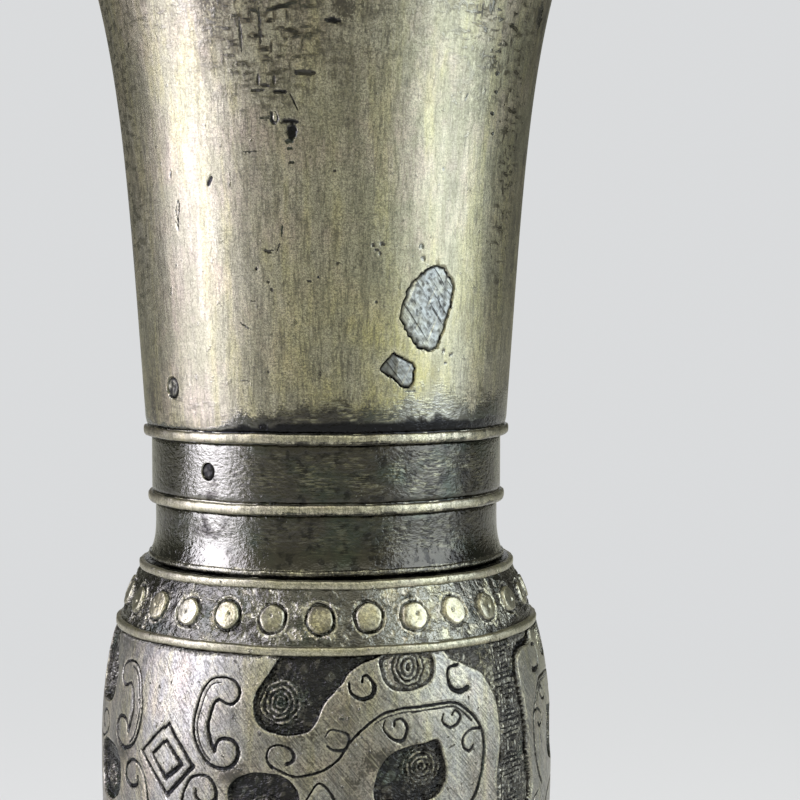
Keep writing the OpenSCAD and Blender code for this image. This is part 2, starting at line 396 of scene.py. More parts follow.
# Incised lines: points, half width and depth
INCISED = [
    ([(8.7, 13.8), (10.3, 13.3), (11.3, 13.9), (11.6, 14.9), (11, 16), (9.8, 16.6), (8.6, 16.6),
      (7.3, 16.1), (6, 14.6), (5.4, 12.6), (5.1, 10.6), (5.3, 8.6), (6.2, 6.7), (7.4, 5.5), (9.3, 5),
      (10.6, 5.4), (11.6, 6.5), (11.7, 7.9), (11, 8.8), (10, 9), (8.9, 8.6), (8.3, 7.4)], 0.2, 0.32),
    ([(8.7, 13.8), (7.9, 13.1), (7.5, 11.6), (7.3, 10.4), (7.6, 8.9), (8.3, 7.4)], 0.22, 0.34),
    ([(8.9, 16), (7.6, 15.5), (6.5, 14.1), (6, 12.3), (5.7, 10.6), (5.9, 8.8), (6.6, 7.1),
      (7.7, 6)], 0.1, 0.14),
    ([(3, -1.2), (3.8, 1.7), (4.9, 3.4), (6.9, 3.8), (8.3, 2.9), (8.5, 1.2), (7.3, 0.2), (5.7, 0.7),
      (5.5, 1.8)], 0.21, 0.34),
    ([(16.4, 5.6), (15.7, 6.6), (15.9, 7.9), (17, 8.5), (18.4, 8.2), (19.1, 7.3), (18.9, 6.4),
      (18.3, 6.1)], 0.18, 0.28),
    ([(16.3, 5.8), (17.3, 5.2), (19.7, 4.5), (22.2, 5.1), (23.5, 5.7), (25.1, 6.9), (26.4, 8.8),
      (27.6, 10.1), (29.4, 11.6), (31.5, 12.5), (36.2, 12.9), (40.8, 12.9), (42.8, 12), (44.3, 10.5),
      (45.5, 8.7), (45.7, 6.7), (45.4, 3.7), (44.9, 2.4), (44, 0.2), (42.6, -1.4)], 0.18, 0.3),
    ([(29.6, 11.2), (31.7, 12), (36.2, 12.4), (40.6, 12.4), (42.3, 11.6), (43.7, 10.2)], 0.1, 0.13),
    ([(23.1, 9.6), (23.7, 10.4), (24.8, 10.4), (26, 9.9), (26.3, 9), (25.8, 8), (24.4, 7.8),
      (23.4, 8.4)], 0.15, 0.2),
    ([(26.4, 16.3), (26.6, 15.1), (27.8, 14.3), (29.2, 14.5), (29.8, 15.8), (29.1, 17), (28.3, 17.1),
      (28.1, 16.4)], 0.2, 0.34),
    ([(42.4, 17.6), (40.9, 17.4), (40.5, 16.2), (40.8, 14.8), (42.1, 14.1), (43.7, 14.3)], 0.24, 0.36),
    ([(31, 11.5), (30.8, 10.4), (31.9, 9.1), (33.3, 8.8), (34, 10.2), (33.3, 11.4), (32.4, 11.4),
      (32.3, 10.7)], 0.16, 0.26),
    ([(39.3, 11.6), (39.1, 10.7), (40, 9.8), (41.2, 10), (42, 10.9), (41.3, 11.8),
      (40.6, 11.3)], 0.16, 0.26),
    ([(45.4, 8.9), (43.5, 9), (42.2, 8.1), (42.3, 6.9), (43.1, 6.4), (43.9, 7)], 0.17, 0.28),
    ([(20.4, -1.6), (20.4, 0.6), (20.9, 2), (22.5, 3.8), (24.1, 2), (24.5, 0.2), (23.8, -1.2),
      (22.7, -1.2), (22.3, -0.2)], 0.18, 0.3),
    ([(3, -1.2), (3.1, -4), (2.7, -7), (3.4, -9.6), (5.4, -10.8), (7.4, -10), (7.9, -8.2), (6.9, -7),
      (5.7, -7.4), (5.6, -8.5)], 0.22, 0.36),
    ([(9.5, -2.6), (13, -4.6), (18, -5.4), (24, -5.2), (29, -3.6), (33, -2.4), (37, -2.8), (40, -4.6),
      (41, -7.4), (39.8, -9.6), (37.6, -10), (36.2, -8.8), (36.6, -7.2), (38, -6.9)], 0.2, 0.32),
    ([(9.5, -12.2), (13, -10.4), (18, -9.4), (24, -9.6), (29, -11.2), (33, -13.4), (35.6, -16.2),
      (36.6, -19.2)], 0.2, 0.32),
    ([(11.5, -8.6), (14.6, -7.6), (18, -7.4), (20.6, -7.8), (20.9, -6.8), (19.2, -6.4)], 0.16, 0.24),
    ([(27, -8), (30, -6.4), (32.6, -6.2), (34.2, -7.6), (33.4, -9.4), (31.6, -9.2),
      (31.4, -7.9)], 0.17, 0.28),
    ([(42.5, -12.5), (44.8, -11.6), (46.4, -13.2), (46.2, -15.8), (44.4, -17.4), (42.2, -16.8),
      (41.6, -15), (42.8, -13.9), (44.2, -14.6)], 0.22, 0.34),
    ([(44.2, -2.2), (46, -3.4), (46.6, -6), (45.6, -8.4), (43.8, -9), (43, -7.6),
      (43.8, -6.2)], 0.19, 0.3),
    ([(2.2, -13.6), (5.2, -13), (7.4, -14.8), (6.8, -17.2), (4.4, -18.2), (2.6, -16.9), (3.1, -15.1),
      (4.7, -15)], 0.2, 0.32),
]

# Sunk fields: outline, depth, centre and outermost radius of the rings in it, and how black it is
SUNK = [
    ([(16.8, 19.6), (15.4, 17.4), (14.3, 15.9), (13.6, 14.7), (13.6, 12.9), (14, 11.4), (15.1, 10.3),
      (16.8, 9.8), (18.6, 9.7), (20.8, 10.1), (21.9, 11.3), (23, 13.3), (24.4, 15.2), (25.7, 16.3),
      (26.4, 17.4), (28, 18.5), (30.7, 19.4), (30, 20.4), (17, 20.4)], 0.8, (17.2, 13.8), 3.1, 1),
    ([(29.4, 2.6), (29.8, 4.8), (30.8, 6.3), (32.3, 7.5), (34.4, 8), (36.5, 8.2), (38.3, 8.4),
      (39, 6.9), (39.4, 4.5), (39.2, 2.6), (37.8, 1.1), (34.6, 0), (31.4, 0.2),
      (29.8, 1)], 0.7, (35.9, 5.1), 2.6, 1),
    ([(31.2, 19.6), (30.8, 17.3), (31.6, 15.7), (33.1, 14.9), (35.7, 14.9), (37.5, 15.7), (38.5, 17.2),
      (38, 19.4)], 0.3, (34.6, 17.9), 2.6, 0.25),
    ([(10.4, 2.6), (11.4, 4), (13, 4.7), (15.2, 4.9), (17.4, 4.7), (19, 3.8), (19.8, 2), (19.8, -0.6),
      (18.4, -2.8), (15, -3.4), (11.6, -2.2), (10.4, 0.4)], 0.75, (15.2, -0.2), 2.0, 1),
    ([(11, -13.6), (14, -12), (19, -11.1), (24, -11.4), (28.3, -13), (31.4, -15.3), (32.8, -18.9),
      (31, -20.4), (11, -20.4), (9.6, -17.6)], 0.75, (15.8, -15.6), 2.9, 1),
]
MORE_RINGS = [((25, -15.8), 2.6), ((44, -4.8), 0.9)]

# Brown stains left on the worn metal: centre, half width, half height and strength
STAINS = [(20.4, 9.2, 2.4, 2.2, 1), (27, 6.2, 8, 3.4, 0.85), (12.4, 6.6, 3.4, 3, 0.45),
          (11, 4.4, 3, 1.5, 0.85), (24, -1.4, 5, 3, 0.8), (44.5, 6, 2.6, 4, 0.45), (8, 2.5, 3, 2, 0.35),
          (27, -12.6, 6, 2.4, 0.6), (42, -9, 3, 5, 0.5), (25.5, 12.4, 3, 1.6, 0.35)]

# Edge of a mask's band, past which the ground of square spirals lies, and the second mask's leaf edge
BAND_EDGE = [(39.4, 21), (41, 18.7), (43, 17.7), (45.1, 16.7), (46.7, 15.7), (47.9, 13.8), (48.8, 11.2),
             (49.1, 8.1), (48.8, 5.1), (48.2, 2.2), (48.1, -0.8), (48.6, -4), (49.1, -8), (48.9, -12),
             (48, -15.4), (46, -17.6), (42, -18.9), (39.4, -21)]
LEAF_EDGE = [(40, 21), (42.6, 18.1), (47, 17.4), (48.9, 15.6), (48.4, 11.1), (47.8, 7.9), (47.5, 3.7),
             (46.6, -0.3), (47.2, -4), (48.2, -8), (48.6, -12), (47.8, -15.6), (45.6, -17.8), (40, -21)]
BORDER_X = 52.0
SPIRAL_ROWS = (17.1, 11.4, 5.7, 0, -5.7, -11.4, -17.1)


def square_ring(centre, half_w, half_h):
    """A hand-cut ring with square corners, as in a ground of square spirals."""
    x, y = centre
    return straight([(x - half_w, y - half_h), (x + half_w, y - half_h), (x + half_w, y + half_h),
                     (x - half_w, y + half_h)])


class MaskHalf:
    """What is cut into one half of a mask, over x from its axis and y from the knop's middle."""

    def __init__(self, edge, seed, sizes):
        self.seed = seed
        self.width = sizes.incised_width / MM
        self.deep = sizes.incised_depth / MM
        self.sunk_deep = sizes.sunk_depth / MM
        self.lines = [(rounded(points), half, deep) for points, half, deep in INCISED]
        self.centre_lines = [(DIAMOND, 0.22, 0.36), (DIAMOND_CORE, 0.24, 0.38), (NOSE_SHIELD, 0.18, 0.28)]
        self.fields = [(rounded(points, closed=True), deep, centre, radius, black)
                       for points, deep, centre, radius, black in SUNK]
        self.edge = rounded(edge)
        self.ground = np.vstack([self.edge, [(60, -21), (60, 21), edge[0]]])
        self.spirals = []
        for row in SPIRAL_ROWS:
            for half_w, half_h in ((2.5, 2.4), (1.85, 1.75), (1.2, 1.1), (0.55, 0.5)):
                self.spirals.append((square_ring((BORDER_X, row), half_w, half_h), 0.13, 0.2))
        self.leaf = edge is LEAF_EDGE

    def warped(self, x, y):
        """The hand of the carver: no line runs quite true."""
        shifts = [0.1 * wander(x * 0.7, y * 0.7, self.seed + step) for step in (0, 4)]
        return x + shifts[0], y + shifts[1]

    def nearest(self, signed_x, y, reach):
        """Distance from the nearest cut edge, as far as reach."""
        x, v = self.warped(np.abs(signed_x), y)
        middle_x, middle_y = self.warped(signed_x, y)
        best = line_distance(x, v, self.edge, reach)
        for line, _, _ in self.lines + self.spirals:
            best = np.minimum(best, line_distance(x, v, line, reach))
        for line, _, _ in self.centre_lines:
            best = np.minimum(best, line_distance(middle_x, middle_y, line, reach))
        for line, *_ in self.fields:
            best = np.minimum(best, line_distance(x, v, line, reach))
        for centre, radius in MORE_RINGS + [field[2:4] for field in self.fields]:
            from_centre = np.hypot(x - centre[0], v - centre[1])
            best = np.minimum(best, np.maximum(from_centre - radius - 0.2, 0.3))
        return best

    def cut(self, signed_x, y):
        """Depth in millimetres, patina, wear and soot at each point of the half."""
        x, v = self.warped(np.abs(signed_x), y)
        middle_x, middle_y = self.warped(signed_x, y)
        rough = wander(x * 5, v * 5, self.seed + 2)
        fine = wander(x * 11, v * 11, self.seed + 7)
        floor, wear, ridges, black_floor, cut_line, dark, lips, soot = np.zeros((8, len(x)))
        for line, deep, centre, radius, black in self.fields:
            off = line_distance(x, v, line, 0.7)
            within = inside(x, v, line)
            slope = np.where(within, off, -off)
            floor = np.maximum(floor, deep * self.sunk_deep * ramp(slope, -0.05, 0.28))
            wear = np.maximum(wear, np.where(within, 0, hump(off - 0.12, 0.12)) * (off < 0.7))
            raised = self.rings(x, v, centre, radius, 0.66) * within
            ridges = np.maximum(ridges, raised)
            ringed = np.hypot(x - centre[0], v - centre[1]) < radius
            black = np.where(ringed, np.maximum(black, 1 - raised), black)
            edge_line = hump(slope - 0.28, 0.34)
            blackened = ramp(slope, -0.04, 0.15) * np.maximum(black, edge_line)
            black_floor = np.maximum(black_floor, blackened)
        for centre, radius in MORE_RINGS:
            ridges = np.maximum(ridges, self.rings(x, v, centre, radius, 0.62))
        in_ground = inside(x, v, self.ground) | (x > 50)
        off = line_distance(x, v, self.edge, 1.6)
        step = np.where(in_ground, off, -off)
        ground = 0.34 * ramp(step, -0.05, 0.25)
        trench = 0.62 * ramp(step, 0, 0.2) * (1 - ramp(step, 0.75, 1.1)) * (1 if self.leaf else 0.35)
        wear = np.maximum(wear, np.where(in_ground, 0, hump(off - 0.16, 0.17)) * (off < 1.6))
        sunk = floor > 0.1
        depth = floor - ridges * 0.4 * (floor > 0.2) - 0.1 * rough * sunk - 0.1 * fine * sunk
        depth = np.maximum(depth, ground + trench + 0.05 * rough * (ground > 0.1))
        everything = [(x, v, entry) for entry in self.lines + self.spirals]
        everything += [(middle_x, middle_y, entry) for entry in self.centre_lines]
        for px, py, (line, half, deep) in everything:
            middle = line.mean(0)
            reach = max(np.abs(line - middle).max(), 1)
            # The lines are cut and blackened wider toward their lower right, as the shaded side of each
            # cut: partly painted shade.
            lean = ((px - middle[0]) - (py - middle[1])) / (1.4 * reach)
            half = half * self.width * (1.0 + 0.14 * rough + 0.42 * np.clip(lean, -1, 1))
            off = line_distance(px, py, line, 0.7)
            across = np.clip(1 - (off / (half * 1.25)) ** 2, 0, 1)
            cut_line = np.maximum(cut_line, deep * self.deep * across ** 0.8)
            dark = np.maximum(dark, 1 - ramp(off, half * 0.7, half * 1.5))
            bright = hump(off - half - 0.2, 0.12) * (off < 0.69)
            wear = np.maximum(wear, bright * (0.6 + 0.4 * rough))
            lips = np.maximum(lips, hump(off - half - 0.22, 0.16) * (off < 0.69))
        depth = depth - 0.06 * lips * (0.7 + 0.3 * rough) * (depth < 0.1)
        depth = np.maximum(depth, cut_line + np.minimum(depth, 0.5) * (cut_line > 0.02))
        fleck = ramp(fine, 0.6, 0.85) * (floor > 0.25)
        patina = np.maximum(dark, black_floor * (0.95 - 0.8 * ridges - 0.35 * fleck))
        uneven = 0.3 * wander(x, v, self.seed)
        for spot_x, spot_y, half_w, half_h, strength in STAINS:
            stain = np.hypot((x - spot_x) / half_w, (v - spot_y) / half_h) + uneven
            soot = np.maximum(soot, strength * hump(np.maximum(stain, 0), 1.3))
        in_weave = ramp(ground, 0.1, 0.3) * (0.45 + 0.3 * rough)
        # Black in the trench along the band's edge, strongest at the leaf edge: patina, and painted shade
        # for the shadow in that gap.
        patina = most(patina, in_weave, ramp(trench, 0.1, 0.4))
        boss = np.hypot(x - 42.5, v - 15.8)
        depth = depth - 0.12 * (1 - ramp(boss, 1, 1.45))
        wear = np.maximum(wear, 0.7 * (1 - ramp(boss, 1, 1.5)))
        return depth, patina, wear * (1 - ramp(patina, 0.3, 0.8)), soot

    def rings(self, x, y, centre, radius, pitch):
        """Raised concentric rings, broken and uneven, as they came from the mould."""
        dx = x - centre[0]
        dy = y - centre[1]
        away = np.hypot(dx, dy * 1.04)
        turn = np.arctan2(dy, dx)
        uneven = 0.1 * np.sin(turn * 2 + self.seed) + 0.1 * wander(x * 2, y * 2, self.seed + 5)
        wave = 0.5 + 0.5 * np.cos(2 * math.pi * (away + uneven) / pitch)
        broken = 0.8 + 0.35 * wander(x * 3.4, y * 3.4, self.seed + 6)
        return broken * wave ** 1.3 * (1 - ramp(away, radius - 0.2, radius + 0.25))


class Wire:
    """One output of a node, so that shader maths can be written with the usual signs."""

    def __init__(self, bench, socket):
        self.bench = bench
        self.socket = socket

    def __add__(self, other):
        return self.bench.sum("ADD", self, other)

    def __sub__(self, other):
        return self.bench.sum("SUBTRACT", self, other)

    def __rsub__(self, other):
        return self.bench.sum("SUBTRACT", other, self)

    def __mul__(self, other):
        return self.bench.sum("MULTIPLY", self, other)

    __radd__ = __add__
    __rmul__ = __mul__


class Bench:
    """The nodes of one material or of the world."""

    def __init__(self, owner):
        owner.use_nodes = True
        self.tree = owner.node_tree
        self.tree.nodes.clear()

    def add(self, kind, settings=None, inputs=None, output=0):
        """Adds a node with its settings and its sockets' values or wires, and returns one output."""
        node = self.tree.nodes.new(kind)
        for name, value in (settings or {}).items():
            setattr(node, name, value)
        for name, value in (inputs or {}).items():
            if isinstance(value, Wire):
                self.tree.links.new(value.socket, node.inputs[name])
            else:
                node.inputs[name].default_value = value
        return Wire(self, node.outputs[output]) if node.outputs else None

    def sum(self, operation, first, second):
        return self.add("ShaderNodeMath", {"operation": operation}, {0: first, 1: second})

    def mix(self, factor, first, second):
        """A colour between two colours."""
        sides = {0: factor, 6: opaque(first), 7: opaque(second)}
        return self.add("ShaderNodeMix", {"data_type": "RGBA"}, sides, 2)

    def coats(self, colour, *layers):
        """A colour with others laid over it, each by its share."""
        for share, layer in layers:
            colour = self.mix(share, colour, layer)
        return colour

    def stretch(self, vector, x, y, z):
        return self.add("ShaderNodeVectorMath", {"operation": "MULTIPLY"}, {0: vector, 1: (x, y, z)})

    def noise(self, vector, scale, detail=2.0, rough=0.5, lean=0.0):
        return self.add("ShaderNodeTexNoise", {}, {
            "Vector": vector, "Scale": scale, "Detail": detail, "Roughness": rough, "Distortion": lean})

    def between(self, value, low, high):
        """0 at low, 1 at high and smooth between them."""
        ends = {"Value": value, "From Min": low, "From Max": high}
        return self.add("ShaderNodeMapRange", {"interpolation_type": "SMOOTHSTEP"}, ends)

    def kept(self, name):
        """A number that the piece keeps for each vertex."""
        return self.add("ShaderNodeAttribute", {"attribute_name": name}, {}, 2)

    def larger(self, *wires):
        return functools.reduce(lambda first, second: self.sum("MAXIMUM", first, second), wires)

    def reliefs(self, *layers):
        """Bumps over one another, each with its height, its distance and its strength."""
        bump = {}
        for height, distance, strength in layers:
            bump.update({"Height": height, "Distance": distance, "Strength": strength})
            bump["Normal"] = self.add("ShaderNodeBump", {}, bump)
        return bump["Normal"]

    def background_rays(self, toward=None):
        """1 where the background shows: to the camera, and in gloss and glass that look at it."""
        camera, gloss, glass = (self.add("ShaderNodeLightPath", {}, {}, output) for output in (0, 3, 8))
        if not toward:
            return camera
        return self.larger(camera, self.larger(gloss, glass) * self.between(toward, 0.97, 0.995))

    def close(self, colour, roughness, normal):
        """The metal's surface."""
        surface = self.add("ShaderNodeBsdfPrincipled", {}, {
            "Base Color": colour, "Metallic": 1, "Roughness": roughness, "Normal": normal})
        self.add("ShaderNodeOutputMaterial", {}, {"Surface": surface})


def opaque(colour):
    """A plain colour gets the fourth number that a colour socket takes."""
    if isinstance(colour, Wire):
        return colour
    return (*tuple(colour)[:3], 1)


def new_material(name):
    material = bpy.data.materials.new(name)
    return material, Bench(material)


def twisted(bench, place, angle):
    """The place turned about the axis by an angle that grows with height, for slanting scratches."""
    height = bench.add("ShaderNodeSeparateXYZ", {}, {0: place}, 2)
    turned = {"Vector": place, "Angle": height * angle}
    return bench.add("ShaderNodeVectorRotate", {"rotation_type": "Z_AXIS"}, turned)


def aged_bronze(name, grey=0, lines=0.5, scratches=0.5, blotches=0.5, mottle=0, cast=0.15, gloss=0.27):
    """Cast bronze, handled for centuries: olive and pinkish brown metal, brassy where it is worn, glossy
    black in what is cut or sunk, under a fine grain with upright streaks, turning lines and scratches.
    Where polish is high, the grain is lighter and the black paler: painted highlight."""
    colours = bpy.context.scene.gu_colours
    material, bench = new_material(name)
    place = bench.add("ShaderNodeTexCoord", {}, {}, 3)
    kept = {field: bench.kept(field) for field in ("patina", "wear", "soil", "gold", "soot", "polish")}
    patina = kept["patina"]
    polish = kept["polish"]
    over = bench.between

    broad = bench.noise(place, 30, 3, 0.55)
    cloud = bench.noise(place, 130, 4, 0.6)
    spots = bench.noise(place, 330, 4, 0.62)
    coarse = bench.noise(place, 700, 3, 0.62)
    grain = bench.noise(place, 3000, 2, 0.6)
    fine = bench.noise(place, 6500, 1, 0.6)
    upright = bench.noise(bench.stretch(place, 1, 1, 0.11), 3000, 2, 0.6)
    smear = bench.noise(bench.stretch(place, 1, 1, 0.12), 330, 3, 0.6)
    broad_upright = bench.noise(bench.stretch(place, 1, 1, 0.12), 1000, 3, 0.65)
    dash_up = bench.noise(bench.stretch(place, 1, 1, 0.25), 1150, 2, 0.5, 0.1)
    dash_over = bench.noise(bench.stretch(place, 0.3, 0.3, 1), 1250, 2, 0.5, 0.1)
    turned = bench.noise(bench.stretch(place, 0.14, 0.14, 1), 4600, 3, 0.65)
    slant = bench.noise(bench.stretch(twisted(bench, place, 26), 1, 1, 0.09), 3800, 2, 0.62)

    pale = bench.mix(grey, colours.bronze, colours.grey_bronze)
    deep = bench.mix(grey, colours.deep_bronze, colours.deep_grey)
    # Clots from the soot channel: brown stains, and painted shade where that channel carries it.
    clotted_soot_and_shade = kept["soot"] * (0.3 + 0.7 * over(spots + (grain - 0.5) * 0.5, 0.4, 0.6))
    soiled = kept["soil"] * over(coarse, 0.38, 0.52)
    dashes = bench.larger(over(dash_up, 0.5, 0.62), over(dash_over, 0.47, 0.57)) * soiled
    strokes = over(broad_upright + (upright - 0.5) * 0.4, 0.5, 0.68)
    # rubbed: less dark grain where polish is high, partly wear and partly painted highlight.
    rubbed = 1 - polish * 0.55
    woven = bench.larger(over(upright, 0.5, 0.64), over(turned, 0.54, 0.68))
    metal = bench.coats(
        bench.mix(over(broad, 0.34, 0.66), pale, deep),
        (over(cloud, 0.42, 0.66) * 0.75, colours.brown_bronze),
        (over(smear, 0.48, 0.64) * 0.45, colours.golden_bronze),
        (kept["gold"] * over(cloud, 0.3, 0.6), colours.golden_bronze),
        (over(smear, 0.5, 0.34) * 0.35, colours.dark_bronze),
        (over(broad_upright, 0.42, 0.62) * 0.6, deep),
        (over(broad_upright, 0.48, 0.36) * 0.3, colours.worn_brass),
        (over(coarse, 0.48, 0.68) * 0.25, colours.worn_brass),
        (kept["wear"] * over(coarse, 0.3, 0.6), colours.worn_brass),
        (over(grain, 0.42, 0.28) * 0.25, colours.worn_brass),
        (clotted_soot_and_shade, colours.soil_and_shade_brown),
        (over(clotted_soot_and_shade, 0.4, 0.75) * 0.6, colours.dark_bronze),
        (dashes * 0.9, colours.soil_and_shade_brown),
        (strokes * (1 - polish * 0.7) * (0.34 * lines), colours.soil_and_shade_brown),
        (over(fine, 0.42, 0.58) * 0.5 * rubbed, colours.dark_bronze),
        (over(grain, 0.48, 0.66) * 0.48 * rubbed, colours.dark_bronze),
        (woven * rubbed * (0.45 * lines), colours.dark_bronze),
        (over(slant, 0.52, 0.64) * (0.6 * scratches), colours.dark_bronze),
        (over(slant, 0.42, 0.3) * (0.4 * scratches), colours.worn_brass))

    pressed = bench.larger(over(dash_up, 0.59, 0.67), over(dash_over, 0.55, 0.62)) * soiled
    specks = over(bench.noise(place, 900, 2, 0.5), 0.68, 0.73) * blotches
    mottled = over(spots + (grain - 0.5) * 0.25, 0.5, 0.6) * over(cloud, 0.42, 0.6) * mottle
    edge = (grain - 0.5) * 0.6 + (spots - 0.5) * 0.4 + (turned - 0.5) * (0.8 * lines)
    drawn = over(patina + edge, 0.15, 0.6) * over(patina, 0.02, 0.2)
    aged = bench.larger(drawn, pressed, specks, mottled)
    olive = over(turned, 0.47, 0.6) * over(spots, 0.4, 0.56) * over(patina, 0.97, 0.8)
    sheen = bench.coats(
        colours.dark_bronze,
        (over(cloud, 0.45, 0.7) * 0.85, colours.green_patina),
        (over(coarse, 0.5, 0.64) * 0.7, colours.patina),
        # Painted highlight: a lighter black where polish is high.
        (polish * over(spots, 0.66, 0.5), colours.polished_black),
        (olive * (lines * kept["gold"]), colours.deep_bronze))
    colour = bench.coats(metal, (aged, sheen), (over(patina, 0.86, 0.98), colours.patina))

    roughness = gloss + grain * 0.14 + coarse * 0.12 - aged * 0.27
    pitted = aged * over(coarse, 0.52, 0.62) * over(patina, 0.7, 0.95)
    lumps = bench.noise(bench.stretch(place, 1, 1, 1.6), 1300, 3, 0.6)
    relief = bench.reliefs(
        (fine, 0.00002, 0.1),
        (grain, 0.00006, 0.16),
        (coarse, 0.0001, 0.16),
        (woven, 0.00002, 0.2 * lines),
        (slant, 0.00005, 0.35 * scratches),
        (1 - pitted, 0.00015, 0.35),
        (lumps * aged, 0.001, cast),
        (1 - pressed, 0.00005, 0.3))
    bench.close(colour, roughness, relief)
    return material


def grey_metal(name, colour, gloss, scratch):
    """The greyer metal of the patches, the plugs and the solder, scratched and pitted."""
    colours = bpy.context.scene.gu_colours
    material, bench = new_material(name)
    place = bench.add("ShaderNodeTexCoord", {}, {}, 3)
    over = bench.between
    cloud = bench.noise(place, 260, 4, 0.6)
    grain = bench.noise(place, 2100, 3, 0.6)
    one_way = bench.noise(bench.stretch(twisted(bench, place, 30), 1, 1, 0.04), 2300, 2, 0.6)
    other_way = bench.noise(bench.stretch(twisted(bench, place, -17), 1, 1, 0.05), 1500, 2, 0.6)
    pits = over(bench.noise(place, 900, 2, 0.5), 0.66, 0.72)
    shade = bench.coats(
        colour,
        (over(cloud, 0.4, 0.7) * 0.55, colours.deep_bronze),
        (over(one_way, 0.55, 0.7) * scratch, colours.patina),
        (over(other_way, 0.6, 0.72) * (scratch * 0.7), colours.worn_brass),
        (bench.larger(bench.kept("patina"), pits * 0.6), colours.patina),
        (over(grain, 0.5, 0.64) * 0.5, colours.dark_bronze))
    relief = bench.reliefs(
        (grain, 0.00006, 0.4),
        (one_way, 0.0001, 0.5 * scratch),
        (other_way, 0.0001, 0.4 * scratch))
    bench.close(shade, gloss + grain * 0.14, relief)
    return material


